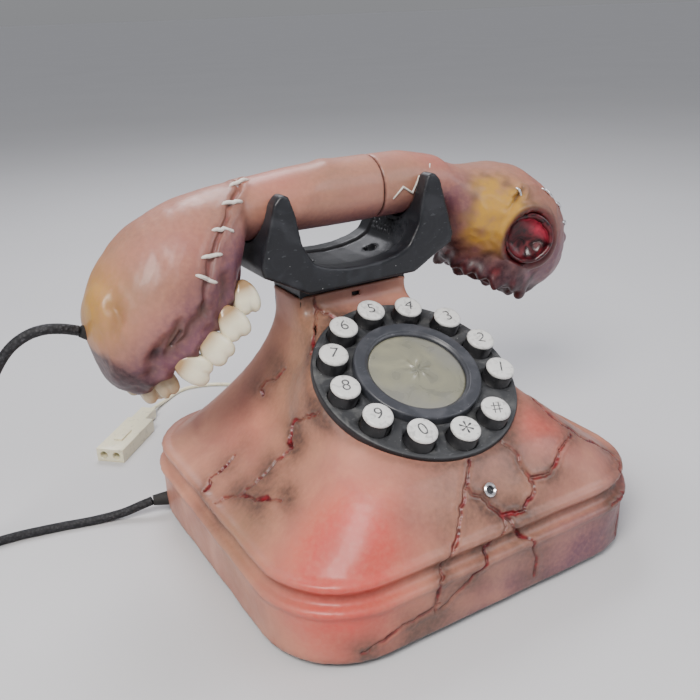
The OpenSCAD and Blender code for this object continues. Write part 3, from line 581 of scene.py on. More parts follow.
BODY_SQUARE = 0.00151
body = body_stack(PLINTH_PROFILE, 0, TIER_B + 0.4, COLLAR_TOP, 26)
shoulder = disc(body, -25, -PLATE_T - 0.9, 60, 53.4)
on_dial(body, shoulder)
body = moulded(body, BODY_SQUARE)
at = places(body)
soften(body, body.verts, 2)
soften(body, [v for v, p in zip(body.verts, at) if 47 < p[2] < 126], 26)
crack_line = traced(body, CRACKS)
for reach in (4.4, 2.3):
    refined(body, gap_to(body, crack_line) < reach)

at = places(body)
out = directions(body)
crack_gap = gap_to(body, crack_line)
width = 0.62 + 0.30 * ripple(at, 12, 6)
groove = np.exp(-(crack_gap / np.maximum(width, 0.48)) ** 2)
puffed = np.exp(-((crack_gap - 2.2) / 1.0) ** 2)
move = -1.05 * groove + 0.30 * puffed + 0.16 * ripple(at, 26, 7) + 0.05 * ripple(at, 6, 8)
move *= (at[:, 2] > 4) & (at[:, 2] < COLLAR_TOP - 0.8)
shifted(body, out * move[:, None])

WALL = 2.5
HOLLOW_PROFILE = [(WALL, 0), (WALL, 29.8), (WALL + 4.2, 30.4), (WALL + 4.2, 40.8)]
body = cut(body, body_stack(HOLLOW_PROFILE, WALL, TIER_B - 2, COLLAR_TOP - 8, 9))
well = bmesh.new()
on_dial(well, disc(well, -27, 5, 50.8, 50.8))
body = cut(body, well)
post_low, post_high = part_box("cradle_post")
post_hole = bmesh.new()
skinned(post_hole, [plan_loop(post_hole, post_high.x * 1000 + 0.35, post_low.y * 1000 - 0.35,
                              post_high.y * 1000 + 0.35, 1.6, z) for z in (112, 140)])
body = cut(body, post_hole)
slot_cut = bmesh.new()
block(slot_cut, (-2.5, 20, 122.8), (2.5, 30, 125.2))
body = cut(body, slot_cut)
eyelet_low, eyelet_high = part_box("sensor_eyelet")
eyelet = (eyelet_low + eyelet_high) / 2
EYELET_LEAN = 62
hole = bmesh.new()
disc(hole, -9, 9, 2.6, 2.6, 48)
eyelet_frame = Matrix.Translation(eyelet) @ Matrix.Rotation(math.radians(EYELET_LEAN), 4, "X")
bmesh.ops.transform(hole, matrix=eyelet_frame, verts=hole.verts)
body = cut(body, hole)


def painted(obj, **fields):
    """Stores each field of numbers from 0 to 1 as a painted layer on the mesh."""
    for name, values in fields.items():
        layer = obj.data.attributes.new(name, "FLOAT", "POINT")
        layer.data.foreach_set("value", np.clip(values, 0, 1).astype(np.float32))


def flesh_paint():
    """Sprayed skin tones and painted shade, each on its own painted layer, over a mottled peach ground."""
    mat, shader, place = new_finish("flesh_paint", roughness=0.42, coat=0.10, specular=0.38)
    mottle = grain(mat, place, 42, 6, 0.6)
    fine = grain(mat, place, 420, 5)
    peach, warm, ochre = (0.585, 0.262, 0.178), (0.445, 0.178, 0.135), (0.62, 0.32, 0.20)
    colour = tinted(mat, spread(mat, mottle, 0.35, 0.7), peach, warm)
    colour = tinted(mat, spread(mat, grain(mat, place, 95, 4), 0.55, 0.8, 0, 0.35), colour, ochre)
    # shade and dark hold sprayed tones and painted shade alike, and mauve holds some painted shade
    layers = (
        ("tan", (0.335, 0.185, 0.105)), ("blush", (0.60, 0.085, 0.065)), ("mauve", (0.155, 0.062, 0.088)),
        ("shade", (0.12, 0.065, 0.05)), ("rot", (0.46, 0.25, 0.04)), ("dark", (0.030, 0.006, 0.010)),
    )
    uneven = spread(mat, fine, 0.25, 0.75, 0.72, 1.15)
    for name, tone in layers:
        colour = tinted(mat, painted_layer(mat, name, uneven), colour, tone)
    clots = spread(mat, grain(mat, place, 300, 4), 0.35, 0.65)
    blood = tinted(mat, clots, (0.045, 0.0025, 0.004), (0.21, 0.008, 0.013))
    wet = painted_layer(mat, "wound")
    join(mat, tinted(mat, wet, colour, blood), shader.inputs["Base Color"])
    dry = spread(mat, mottle, 0.3, 0.7, 0.36, 0.5)
    join(mat, times(mat, dry, spread(mat, wet, 0, 1, 1.0, 0.95)), shader.inputs["Roughness"])
    lit_through(shader, 0.12, (0.006, 0.002, 0.001))
    pores = grain(mat, place, 1500, 3)
    bumped(mat, shader, [(mottle, 0.25, 0.0009), (fine, 0.22, 0.0004), (pores, 0.16, 0.00018)])
    return mat


flesh = flesh_paint()
at = places(body)
crack_gap = gap_to(body, crack_line)
patchy = 0.8 + 0.4 * ripple(at, 22, 9)
near_crack = np.exp(-(crack_gap / 11.5) ** 1.4) * 0.78 * patchy
low_wall = np.clip((33 - at[:, 2]) / 26, 0, 1) * np.clip((at[:, 0] + 62) / 50, 0, 1) * (at[:, 1] < -60)
# painted shade in the inset wall between the two lips
step_groove_painted_shade = np.exp(-((at[:, 2] - 36.5) / 2.6) ** 2) * (np.abs(at[:, 1]) + np.abs(at[:, 0]) > 70)
# painted shade low on the wall, next to the floor
foot_painted_shade = np.clip((8 - at[:, 2]) / 5, 0, 1)
dial_gap = np.linalg.norm(at - np.array([0, DIAL_Y, DIAL_Z]), axis=1)
dial_shadow = np.exp(-((dial_gap - 54) / 3) ** 2)
body_skin = piece("body_skin", body, flesh, "base")
painted(
    body_skin,
    blush=sprayed(at, [(0.9, (-66, -82, 56), 24), (0.75, (-84, -88, 40), 26), (0.9, (46, -75, 73), 17),
                       (0.4, (92, -88, 38), 20), (0.6, (84, 30, 62), 26), (0.6, (-30, 92, 52), 26),
                       (0.45, (40, 84, 60), 22), (0.3, (-70, 20, 66), 22), (0.5, (-80, -100, 16), 26)]),
    tan=0.1 + sprayed(at, [(0.7, (-50, 6, 92), 30), (0.5, (-30, 16, 116), 16), (0.6, (-100, -30, 44), 22),
                           (0.5, (62, 10, 78), 22), (0.5, (60, 84, 46), 26), (0.35, (12, -90, 58), 22)]),
    mauve=0.6 * low_wall * patchy + 0.3 * (at[:, 2] < 33) * np.clip((at[:, 0] + 40) / 60, 0, 1)
    + sprayed(at, [(0.45, (74, -100, 16), 40), (0.35, (0, 24, 120), 16), (0.3, (20, -72, 72), 16)]),
    # brown-grey airbrush round the cracks, with painted shade in the groove between the lips, at the foot and
    # round the dial's edge
    shade=near_crack + 0.08 + 0.1 * ripple(at, 40, 46) + 0.4 * step_groove_painted_shade + 0.35 * foot_painted_shade
    + 0.4 * dial_shadow
    + 0.35 * spot(at, (-34, -84, 62), 18) * patchy
    + sprayed(at, [(0.7, (-46, -100, 8), 9), (0.3, (14, -88, 60), 20), (0.45, (-84, -22, 52), 15),
                   (0.3, (-58, -22, 76), 13)]),
    wound=1.3 * np.exp(-(crack_gap / np.maximum(0.62, 0.9 + 0.45 * ripple(at, 12, 6))) ** 4),
)
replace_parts(body_skin, "body_shell")


# ---- Dial ----
# The dial plate is a worn dark grey disc with twelve holes. A raised bezel with a dark side holds a frosted
# window. The keys are black barrels with silver-white caps, worn grey in patches, and thin printed digits.

def turned(profile, segments=96):
    """Spins a profile of (radius, height) in millimetres once round the upright axis."""
    bm = bmesh.new()
    verts = [bm.verts.new(mm(r, 0, z)) for r, z in profile]
    edges = [bm.edges.new(pair) for pair in zip(verts, verts[1:])]
    if profile[0] != profile[-1] and profile[0][0] > 0 and profile[-1][0] > 0:
        edges.append(bm.edges.new((verts[-1], verts[0])))
    bmesh.ops.spin(bm, geom=verts + edges, cent=(0, 0, 0), axis=(0, 0, 1), angle=math.tau, steps=segments,
                   use_merge=True)
    bmesh.ops.remove_doubles(bm, verts=bm.verts, dist=2e-6)
    bmesh.ops.recalc_face_normals(bm, faces=bm.faces)
    return bm


def rounded_to(corners, radius, steps=4):
    """A closed profile with each corner rounded by this many millimetres."""
    done = []
    for i, corner in enumerate(corners):
        a, b, c = (Vector(p) for p in (corners[i - 1], corner, corners[(i + 1) % len(corners)]))
        reach = min(radius, (a - b).length / 2, (c - b).length / 2)
        start, end = b + (a - b).normalized() * reach, b + (c - b).normalized() * reach
        for k in range(steps + 1):
            t = k / steps
            done.append(tuple((1 - t) ** 2 * start + 2 * t * (1 - t) * b + t * t * end))
    return done


def worn_plastic(name, ground, worn, roughness=0.48, dust=0.5):
    """Moulded plastic with rubbed patches, fine scratches and specks of dust."""
    mat, shader, place = new_finish(name, roughness=roughness, specular=0.45)
    cloud = grain(mat, place, 70, 8, 1.2)
    rubbed = spread(mat, cloud, 0.48, 0.75)
    colour = tinted(mat, rubbed, ground, worn)
    stretch = linked(mat, "Mapping", Vector=place)
    stretch.inputs["Scale"].default_value = (1, 7, 3)
    stretch.inputs["Rotation"].default_value = (0.4, 0.9, 0.6)
    scratch = spread(mat, grain(mat, stretch.outputs["Vector"], 260, 3), 0.66, 0.72)
    colour = tinted(mat, times(mat, scratch, 0.35), colour, tuple(min(1, 2.2 * c + 0.05) for c in worn))
    specks = linked(mat, "TexVoronoi", Vector=place, Scale=330)
    speck = spread(mat, specks.outputs["Distance"], 0.10, 0.06)
    rare = spread(mat, grain(mat, place, 120, 2), 0.6, 0.64)
    colour = tinted(mat, times(mat, times(mat, speck, rare), dust), colour, (0.6, 0.6, 0.6))
    join(mat, colour, shader.inputs["Base Color"])
    join(mat, spread(mat, cloud, 0.3, 0.75, roughness - 0.12, roughness + 0.14), shader.inputs["Roughness"])
    bumped(mat, shader, [(grain(mat, place, 1100, 4), 0.14, 0.00025), (scratch, 0.12, 0.0002)])
    return mat


plate_grey = worn_plastic("dial_plate_grey", (0.044, 0.046, 0.050), (0.135, 0.137, 0.135), 0.5, 0.7)
bezel_grey = worn_plastic("bezel_grey", (0.040, 0.043, 0.052), (0.075, 0.078, 0.090), 0.4, 0.6)
black_abs = worn_plastic("black_abs", (0.010, 0.011, 0.014), (0.026, 0.028, 0.034), 0.4, 0.6)

BUTTONS = ["1", "2", "3", "4", "5", "6", "7", "8", "9", "0", "star", "hash"]
# each cap sits turned by hand, so its print leans a little its own way
CAP_TURNS = [-30, -28, -4, -30, -14, -12, -24, -16, -18, -2, -10, -14]
FIRST_TURN, BUTTON_STEP, LAST_TURN = -22, 29, 298.5
RING_R, BUTTON_R, BUTTON_H = 42.5, 7.4, 8.3
BEZEL_R, WINDOW_R, BEZEL_H = 32.5, 25, 5


def button_turn(i):
    return LAST_TURN if i == len(BUTTONS) - 1 else FIRST_TURN + BUTTON_STEP * i


plate = turned(rounded_to([(WINDOW_R - 1, -PLATE_T), (52, -PLATE_T), (52, 0), (50.4, 0.25), (49.6, 0),
                           (BEZEL_R - 1, 0), (WINDOW_R - 1, 0)], 0.7))
holes = bmesh.new()
for i in range(len(BUTTONS)):
    turn = math.radians(button_turn(i))
    round_hole = disc(holes, -5, 3, BUTTON_R + 0.35, BUTTON_R + 0.35, 48)
    bmesh.ops.translate(holes, vec=mm(RING_R * math.cos(turn), RING_R * math.sin(turn), 0), verts=round_hole)
plate = cut(plate, holes)
on_dial(plate, plate.verts)
dial_plate = piece("dial_plate_worn", plate, plate_grey, "base")
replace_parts(dial_plate, "dial_plate")

EDGE_PROFILE = [(50.5, -4.4), (52.2, -4.4), (52.35, -2.4), (52.2, -0.5), (51.4, 0.12), (50.5, 0.02)]
edge_black = worn_plastic("plate_edge_black", (0.010, 0.010, 0.012), (0.03, 0.03, 0.034), 0.45, 0.3)
edge_band = turned(rounded_to(EDGE_PROFILE, 0.5))
on_dial(edge_band, edge_band.verts)
piece("dial_plate_edge", edge_band, edge_black, "base")

BEZEL_PROFILE = [
    (WINDOW_R, 0.1), (BEZEL_R, 0.1), (BEZEL_R, BEZEL_H - 0.7), (BEZEL_R - 0.7, BEZEL_H),
    (WINDOW_R + 1.6, BEZEL_H), (WINDOW_R + 0.9, BEZEL_H - 0.9), (WINDOW_R, BEZEL_H - 1.4),
]
bezel = turned(rounded_to(BEZEL_PROFILE, 0.6))
on_dial(bezel, bezel.verts)
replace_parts(piece("bezel", bezel, bezel_grey, "base"), "bezel_ring")


def frosted():
    mat, shader, place = new_finish("frosted_window", roughness=0.3, coat=0.25, specular=0.5)
    cloud = spread(mat, grain(mat, place, 60, 5, 0.8), 0.3, 0.7)
    colour = tinted(mat, cloud, (0.17, 0.17, 0.135), (0.30, 0.29, 0.20))
    haze = spread(mat, grain(mat, place, 26, 3), 0.45, 0.7)
    join(mat, tinted(mat, haze, colour, (0.21, 0.21, 0.215)), shader.inputs["Base Color"])
    join(mat, spread(mat, cloud, 0, 1, 0.22, 0.4), shader.inputs["Roughness"])
    bumped(mat, shader, [(grain(mat, place, 700, 4), 0.1, 0.0003)])
    return mat


dome = [(0, 0.6), (WINDOW_R - 0.05, 0.6), (WINDOW_R - 0.05, 2.3)]
for k in range(1, 21):
    r = WINDOW_R - 1.2 * k
    dome.append((r, 2.35 + 1.15 * (1 - (r / WINDOW_R) ** 2)))
window = turned(dome + [(0, 3.5)], 120)
# a faint six-armed star stands on the middle of the window
for v in window.verts:
    reach = math.hypot(v.co.x, v.co.y) * 1000
    if v.co.z > 0.002 and reach < 16:
        arms = 0.5 + 0.5 * math.cos(6 * math.atan2(v.co.y, v.co.x) + 0.5 + 0.06 * reach)
        v.co.z += 0.0011 * arms ** 2 * math.exp(-(reach / 7.5) ** 2) * (1 - math.exp(-(reach / 1.5) ** 2))
on_dial(window, window.verts)
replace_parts(piece("frosted_window", window, frosted(), "base"), "window_lens")

key_black = worn_plastic("key_barrel_black", (0.006, 0.006, 0.007), (0.018, 0.018, 0.02), 0.36, 0.3)


def cap_paint():
    """Silver-white cap, rubbed grey in cloudy patches."""
    mat, shader, place = new_finish("key_cap_white", roughness=0.4, coat=0.12)
    cloud = grain(mat, place, 300, 6, 1.0)
    rubbed = spread(mat, cloud, 0.52, 0.68)
    join(mat, tinted(mat, rubbed, (0.70, 0.70, 0.68), (0.46, 0.46, 0.45)), shader.inputs["Base Color"])
    join(mat, spread(mat, cloud, 0.3, 0.7, 0.3, 0.52), shader.inputs["Roughness"])
    bumped(mat, shader, [(cloud, 0.18, 0.0003)])
    return mat


def printed_ink():
    mat, shader, place = new_finish("printed_ink", roughness=0.5)
    faded = spread(mat, grain(mat, place, 900, 3), 0.5, 0.75)
    join(mat, tinted(mat, faded, (0.05, 0.05, 0.055), (0.25, 0.25, 0.25)), shader.inputs["Base Color"])
    return mat


cap_white, ink = cap_paint(), printed_ink()
BARREL = [(0, -PLATE_T - 2.6), (BUTTON_R + 0.5, -PLATE_T - 2.6), (BUTTON_R + 0.5, -PLATE_T - 0.7),
          (BUTTON_R - 0.1, -PLATE_T - 0.7), (BUTTON_R - 0.1, BUTTON_H - 2.3),
          (BUTTON_R - 0.5, BUTTON_H - 1.9), (0, BUTTON_H - 1.9)]
CAP = [(0, BUTTON_H - 1.95), (BUTTON_R - 0.35, BUTTON_H - 1.95), (BUTTON_R - 0.12, BUTTON_H - 1.5),
       (BUTTON_R - 0.25, BUTTON_H - 0.8), (BUTTON_R - 0.7, BUTTON_H - 0.3), (BUTTON_R - 1.5, BUTTON_H - 0.05),
       (BUTTON_R - 2.4, BUTTON_H), (0, BUTTON_H)]


def digit(sign, height):
    """Thin raised print of one sign, flat on the cap."""
    data = bpy.data.curves.new("digit", "FONT")
    data.body = sign
    data.size = 0.0096
    data.align_x = "CENTER"
    data.align_y = "CENTER"
    data.extrude = 0.00004
    data.offset = 0 if sign == "*" else -0.00008
    bm = curve_shape(data)
    bmesh.ops.translate(bm, vec=mm(0, 0, height), verts=bm.verts)
    return bm


for i, name in enumerate(BUTTONS):
    turn = math.radians(button_turn(i))
    spot_on_ring = mm(RING_R * math.cos(turn), RING_R * math.sin(turn), 0)
    sign = {"star": "*", "hash": "#"}.get(name, name)
    made = (("barrel", turned(BARREL, 48), key_black), ("cap", turned(CAP, 48), cap_white),
            ("digit", digit(sign, BUTTON_H + 0.03), ink))
    for part, bm, finish in made:
        if part == "digit":
            if name == "star":
                middle = sum((v.co for v in bm.verts), Vector()) / len(bm.verts)
                bmesh.ops.translate(bm, vec=(-middle.x, -middle.y, 0), verts=bm.verts)
                bmesh.ops.scale(bm, vec=(1.7, 1.7, 1), verts=bm.verts)
            bmesh.ops.rotate(bm, matrix=Matrix.Rotation(math.radians(CAP_TURNS[i]), 3, "Z"), verts=bm.verts)
        bmesh.ops.translate(bm, vec=spot_on_ring, verts=bm.verts)
        on_dial(bm, bm.verts)
        obj = piece("key_" + name + "_" + part, bm, finish, "button_" + name, part != "digit")
        if part == "barrel":
            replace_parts(obj, "button_" + name)


# ---- Cradle ----
# The cradle is one black moulding: two horns, a sagging saddle between them and a valley for the grip.
# It is screwed to a post that slides in the collar.

def moulded_copy(name, node, voxel, times_over, finish, body):
    """The CAD node's own shape as one skin, with every edge rounded as it leaves the mould."""
    bm = bmesh.new()
    bm.from_mesh(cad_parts[node].data)
    bmesh.ops.remove_doubles(bm, verts=bm.verts, dist=1e-5)
    bm = moulded(bm, voxel)
    soften(bm, bm.verts, times_over)
    obj = piece(name, bm, finish, body)
    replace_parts(obj, node)
    return obj


cradle = moulded_copy("cradle_moulding", "cradle", 0.0009, 4, black_abs, "cradle")
TROUGH = (36, 24, 57)
for v in cradle.data.vertices:
    x, y, z = (c * 1000 for c in v.co)
    edge = min(TROUGH[0] - abs(x), y - TROUGH[1], TROUGH[2] - y)
    if edge > 0 and v.normal.z > 0.3 and z < 160:
        v.co.z -= 0.0018 * min(1, edge)


# ---- Handset ----
# Two flesh-look mouldings meet at a seam in the grip. The left end is a swollen head with a wide mouth,
# sewn together along a scar. The right end is a torn stump with a round socket in its front.

GRIP_Y, GRIP_Z, SEAM_X = 40.4, 176, 20
SKIN_SQUARE = 0.00115
# x, then the top above the grip's axis, the bottom below it and half the width
MOUTH_SECTIONS = [
    (20, 17.4, 17, 17.4), (-5, 17.3, 17, 17.2), (-30, 15.8, 16.6, 17), (-52, 13.5, 16.6, 17),
    (-60, 12.5, 17, 17.3), (-64, 12, 28, 23), (-72, 11, 44, 28.5), (-84, 9, 62, 32.5),
    (-98, 5, 76, 34.5), (-110, -1, 79, 34.5), (-120, -9, 80, 32.5),
    (-128, -18, 79, 28), (-133, -26, 74, 22), (-137, -35, 60, 15), (-139, -40, 52, 8),
]
EAR_SECTIONS = [
    (20, 17.2, 17, 17.2), (40, 17.2, 17, 17.2), (56, 14, 17, 17.2), (60, 13, 17.2, 17.3), (64, 12, 21, 19),
    (67, 9, 38, 23), (78, 5, 48, 28.5), (92, 4, 58, 33), (106, 4, 68, 35.5), (120, 0.5, 75, 35.5),
    (132, -7, 78, 33), (142, -16, 75, 27), (150, -27, 68, 18.5), (155, -38, 58, 10), (157, -43, 51, 4),
]


def section_loop(bm, section, points=48):
    x, top, low, half = section
    middle, tall = (top - low) / 2, (top + low) / 2
    verts = []
    for i in range(points):
        a = math.tau * i / points
        verts.append(bm.verts.new(mm(x, GRIP_Y + half * math.cos(a), GRIP_Z + middle + tall * math.sin(a))))
    return [bm.edges.new((verts[i - 1], verts[i])) for i in range(points)]


def handset_half(sections):
    bm = bmesh.new()
    skinned(bm, [section_loop(bm, section) for section in sections])
    return bm


MOUTH_LEAN, EAR_LEAN = 38.7, 29.8
mouth_frame = (Matrix.Translation(mm(-63, GRIP_Y, 145)) @ Matrix.Rotation(math.radians(-MOUTH_LEAN), 4, "Y")
               @ Matrix.Rotation(math.pi, 4, "X") @ Matrix.Translation(mm(-40, 0, 0)))
ear_frame = (Matrix.Translation(mm(65, GRIP_Y, 133)) @ Matrix.Rotation(math.radians(EAR_LEAN), 4, "Y")
             @ Matrix.Rotation(math.pi, 4, "X") @ Matrix.Translation(mm(40, 0, 0)))
socket_frame = (Matrix.Translation(mm(107, GRIP_Y - 33.5, 140)) @ Matrix.Rotation(math.radians(-25), 4, "Z")
                @ Matrix.Rotation(math.radians(84), 4, "X"))


def seen_from(matrix, points):
    """The points, in millimetres, in the frame's own directions."""
    inverse = matrix.inverted()
    turn = np.array(inverse.to_3x3())
    return points @ turn.T + np.array(inverse.translation) * 1000


def rod_cutter(matrix, low, high, radius, segments=64):
    bm = bmesh.new()
    disc(bm, low, high, radius, radius, segments)
    bmesh.ops.transform(bm, matrix=matrix, verts=bm.verts)
    return bm


def slab_cutter(matrix):
    bm = bmesh.new()
    block(bm, (-90, -70, 0), (55, 70, 70))
    bmesh.ops.transform(bm, matrix=matrix, verts=bm.verts)
    return bm


# the head: cut open at the mouth, then one smooth skin with lips
SCAR = [(-55, 44, 190), (-58, 34, 188), (-66, 24, 182), (-76, 15, 173), (-84, 10, 163), (-89, 7.5, 153),
        (-92, 6, 141), (-90, 6.5, 133)]
FOLDS = [
    [(-92, 6, 138), (-99, 6, 132), (-104, 7, 124)],
    [(-104, 7, 134), (-109, 8, 127), (-110, 9, 120)],
    [(-112, 9, 128), (-117, 11, 120), (-119, 14, 112)],
    [(-80, 11, 150), (-78, 10, 144), (-80, 9, 139)],
    [(-131, 18, 150), (-129, 17, 138), (-128, 18, 126), (-125, 22, 114)],
]
DIMPLE = (-116, 9.5, 121)
SLIT = [(-104, 7, 130), (-108, 8, 124)]

# along the rim from its inner end, out from the middle, lean, width and length
UPPER_TEETH = [(5, -23, 30, 15, 17), (20, -28, 14, 16.5, 18), (36, -29.5, -2, 16.5, 19),
               (52, -28, -18, 16.5, 19)]
LOWER_TEETH = [(61.5, -17, 20, 13, 17), (67, -9, 26, 14, 18), (71, 6, 28, 13, 16)]

head = cut(handset_half(MOUTH_SECTIONS), slab_cutter(mouth_frame))
head = cut(head, rod_cutter(mouth_frame, -22, 5, 26))


def added(bm, other):
    """Moves the other bmesh's shape into this one."""
    mesh = bpy.data.meshes.new("added")
    other.to_mesh(mesh)
    other.free()
    bm.from_mesh(mesh)


def lip_ring(bm, matrix, radius, thick, height):
    """A full round lip of flesh on the rim of an opening."""
    circle = [(radius + thick * math.cos(a), height + thick * math.sin(a))
              for a in np.linspace(0, math.tau, 13)]
    ring = turned(circle, 72)
    bmesh.ops.transform(ring, matrix=matrix, verts=ring.verts)
    added(bm, ring)


lip_ring(head, mouth_frame, 29, 3.1, -2.4)
lobe = bmesh.ops.create_icosphere(head, subdivisions=3, radius=0.012)["verts"]
bmesh.ops.scale(head, vec=(0.85, 1.5, 1.2), verts=lobe)
bmesh.ops.translate(head, vec=mm(-129, 34, 138), verts=lobe)
head = moulded(head, SKIN_SQUARE)
at = places(head)
soften(head, head.verts, 4)
soften(head, [v for v, p in zip(head.verts, at) if p[0] < -50], 10)
for reach in (4, 2.2):
    at = places(head)
    near_seam = np.abs(at[:, 0] - SEAM_X) < reach / 2
    refined(head, (distance_to(at, SCAR) < reach) | (distance_to(at, SLIT) < reach) | near_seam)
at = places(head)
out = directions(head)
rim = seen_from(mouth_frame, at)
inside = (np.hypot(rim[:, 0], rim[:, 1]) < 26.6) & (np.abs(rim[:, 2] + 11) < 12)
wander = np.stack([ripple(at, 10, seed) for seed in (23, 24, 25)], axis=1) * 0.7
scar_gap = distance_to(at + wander, SCAR)
fold_gap = np.min([distance_to(at + wander, fold) for fold in FOLDS], axis=0)
slit_gap = distance_to(at + wander * 0.5, SLIT)
lip = np.exp(-((rim[:, 2] + 3) / 4.5) ** 2) * (np.hypot(rim[:, 0], rim[:, 1]) > 27)
sockets = [(40 - along, -away) for along, away, *_ in UPPER_TEETH + LOWER_TEETH]
from_tooth = np.min([np.hypot(rim[:, 0] - x, rim[:, 1] - y) for x, y in sockets], axis=0)
gum = np.exp(-((rim[:, 2] + 0.3) / 2.6) ** 2) * (np.hypot(rim[:, 0], rim[:, 1]) > 26.8)
between = np.clip((from_tooth - 5.5) / 3, 0, 1) * np.clip((13 - from_tooth) / 3, 0, 1)
move = -1.2 * np.exp(-(scar_gap / 1.3) ** 4) + 0.6 * np.exp(-((scar_gap - 3.4) / 1.8) ** 2)
move += -1.5 * np.exp(-(fold_gap / 2.6) ** 2) + 0.7 * np.exp(-((fold_gap - 6) / 2.8) ** 2)
move += -1.5 * np.exp(-(slit_gap / 0.9) ** 2) - 2.6 * spot(at, DIMPLE, 3.2)
move += 0.8 * lip * (1 + 0.6 * ripple(at, 13, 26))
move += 1.5 * np.exp(-((from_tooth - 8.5) / 2.2) ** 2) * np.exp(-((rim[:, 2] + 3.4) / 2.8) ** 2)
swell = np.clip((-56 - at[:, 0]) / 20, 0, 1)
move += swell * (0.3 * ripple(at, 24, 27) + 0.07 * ripple(at, 5, 28))
move *= np.clip((SEAM_X - 0.6 - at[:, 0]) / 2, 0, 1) * ~inside
down = np.array(mouth_frame.to_3x3() @ Vector((0, 0, 1)))
shifted(head, out * move[:, None] + down * (3.6 * gum * between)[:, None])
soften(head, [v for v, g in zip(head.verts, gum) if g > 0.05], 2)
head_skin = piece("mouth_half_skin", head, flesh, "handset")
chin = np.clip((48 - 0.55 * at[:, 0] - at[:, 2] + 2.5 * ripple(at, 14, 44)) / 6, 0, 1) * (at[:, 0] < -88)
# painted shade in the gap of the seam between the two halves
seam_gap_shade = np.exp(-((at[:, 0] - SEAM_X) / 0.8) ** 4)
upper_front = np.clip((at[:, 2] - 140) / 40, 0, 1) * np.clip((34 - at[:, 1]) / 20, 0, 1)
gum_shadow = np.exp(-((from_tooth - 7.5) / 2.5) ** 2) * (rim[:, 2] > -4)
painted(
    head_skin,
    tan=0.52 + 0.2 * ripple(at, 34, 45) + 0.4 * swell * upper_front,
    rot=sprayed(at, [(0.85, (-135, 32, 141), 17), (0.35, (-128, 54, 150), 20)]),
    blush=sprayed(at, [(0.25, (-92, 10, 168), 22), (0.3, (-40, 40, 194), 22), (0.25, (-98, 70, 160), 24)]),
    # painted shade: the mauve deepens towards the underside of the head and of the grip, over an even mauve
    # tone
    mauve=swell * (0.95 * np.clip((166 - at[:, 2] + 0.9 * (at[:, 0] + 90)) / 34, 0, 1) + 0.1)
    + 0.65 * np.clip((174 - at[:, 2]) / 14, 0, 1) * (1 - swell) + 0.24,
    # painted shade in the folds and in the slit
    shade=0.5 * np.exp(-(scar_gap / 5) ** 1.4) + 0.6 * np.exp(-(fold_gap / 3.2) ** 2)
    + 0.5 * np.exp(-(slit_gap / 3) ** 2) + 0.4 * gum_shadow,
    # painted shade in the dimple, the slit and the seam's gap
    dark=0.93 * chin + 0.85 * spot(at, DIMPLE, 3.4) + 0.75 * inside + 0.6 * np.exp(-(slit_gap / 1.1) ** 2)
    + 0.85 * seam_gap_shade,
    wound=0.45 * np.exp(-(scar_gap / 0.8) ** 2) + 0.4 * gum * between,
)
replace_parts(head_skin, "handset_mouth_half")

# the stump: torn edge below, socket in front
ZIGZAG = [(25, 22.6, 171), (31, 23, 177), (37, 23, 173), (42, 24.2, 181), (47, 25.4, 177), (52, 28, 186)]
EAR_SLIT = [(107, 13, 168), (101, 11, 164), (95, 10.5, 159), (89, 12, 156)]
SCALLOPS = [(145, 17, 161), (150, 20, 154), (152, 23, 146), (154, 26, 138), (151, 24, 130), (127, 9, 161),
            (134, 11, 154)]
EAR_SCAR = [(98, 12, 164), (108, 10, 168), (122, 14, 168), (134, 15, 160), (143, 16, 151), (150, 21, 141)]

# two lips lie one above the other, so that the flesh stays thick between the torn edge and the socket
stump = cut(handset_half(EAR_SECTIONS), slab_cutter(ear_frame))
stump = cut(stump, rod_cutter(ear_frame, -16, 5, 23))
lip_ring(stump, ear_frame, 26.4, 3.6, -1.2)
lip_ring(stump, ear_frame, 27.0, 3.7, -7.5)
stump = cut(stump, rod_cutter(socket_frame, -11, 14, 14.6))
stump = moulded(stump, SKIN_SQUARE)
soften(stump, stump.verts, 3)
at = places(stump)
edge = seen_from(ear_frame, at)
hole = seen_from(socket_frame, at)
soften(stump, [v for v, p, q, s in zip(stump.verts, at, edge, hole)
               if p[0] > 50 and q[2] < -6 and math.hypot(s[0], s[1]) > 19], 8)
at = places(stump)
refined(stump, (distance_to(at, EAR_SCAR) < 3) | (distance_to(at, EAR_SLIT) < 3))
at = places(stump)
out = directions(stump)
edge = seen_from(ear_frame, at)
hole = seen_from(socket_frame, at)
from_hole = np.hypot(hole[:, 0], hole[:, 1])
in_socket = (from_hole < 15.2) & (np.abs(hole[:, 2] + 5) < 7)
in_cup = (np.hypot(edge[:, 0], edge[:, 1]) < 23.6) & (np.abs(edge[:, 2] + 8) < 8.6)
scar_gap = distance_to(at, EAR_SCAR)
slit_gap = distance_to(at, EAR_SLIT)
bumps = sum(spot(at, centre, 3.4) for centre in SCALLOPS)
torn = np.exp(-((edge[:, 2]) / 5.5) ** 2) * ~in_cup * (at[:, 0] > 60)
ragged = 0.6 + 0.9 * np.abs(ripple(at, 15, 31)) + 0.22 * np.abs(ripple(at, 6.5, 32))
move = -0.8 * np.exp(-(scar_gap / 0.9) ** 2) + 0.9 * np.exp(-((scar_gap - 3.6) / 1.9) ** 2) * (at[:, 0] > 104)
move += 2.0 * np.exp(-((from_hole - 18.2) / 2.4) ** 2) * (np.abs(hole[:, 2]) < 9)
move += 1.9 * bumps - 1.3 * np.exp(-(slit_gap / 1.0) ** 2) + 0.7 * np.exp(-((slit_gap - 3) / 1.5) ** 2)
rot_patch = spot(at, (90, 12, 160), 14) + 0.9 * spot(at, (82, 15, 147), 12) + 0.6 * spot(at, (84, 15, 170), 9)
move += -0.7 * np.clip(rot_patch, 0, 1) * np.abs(ripple(at, 8, 33))
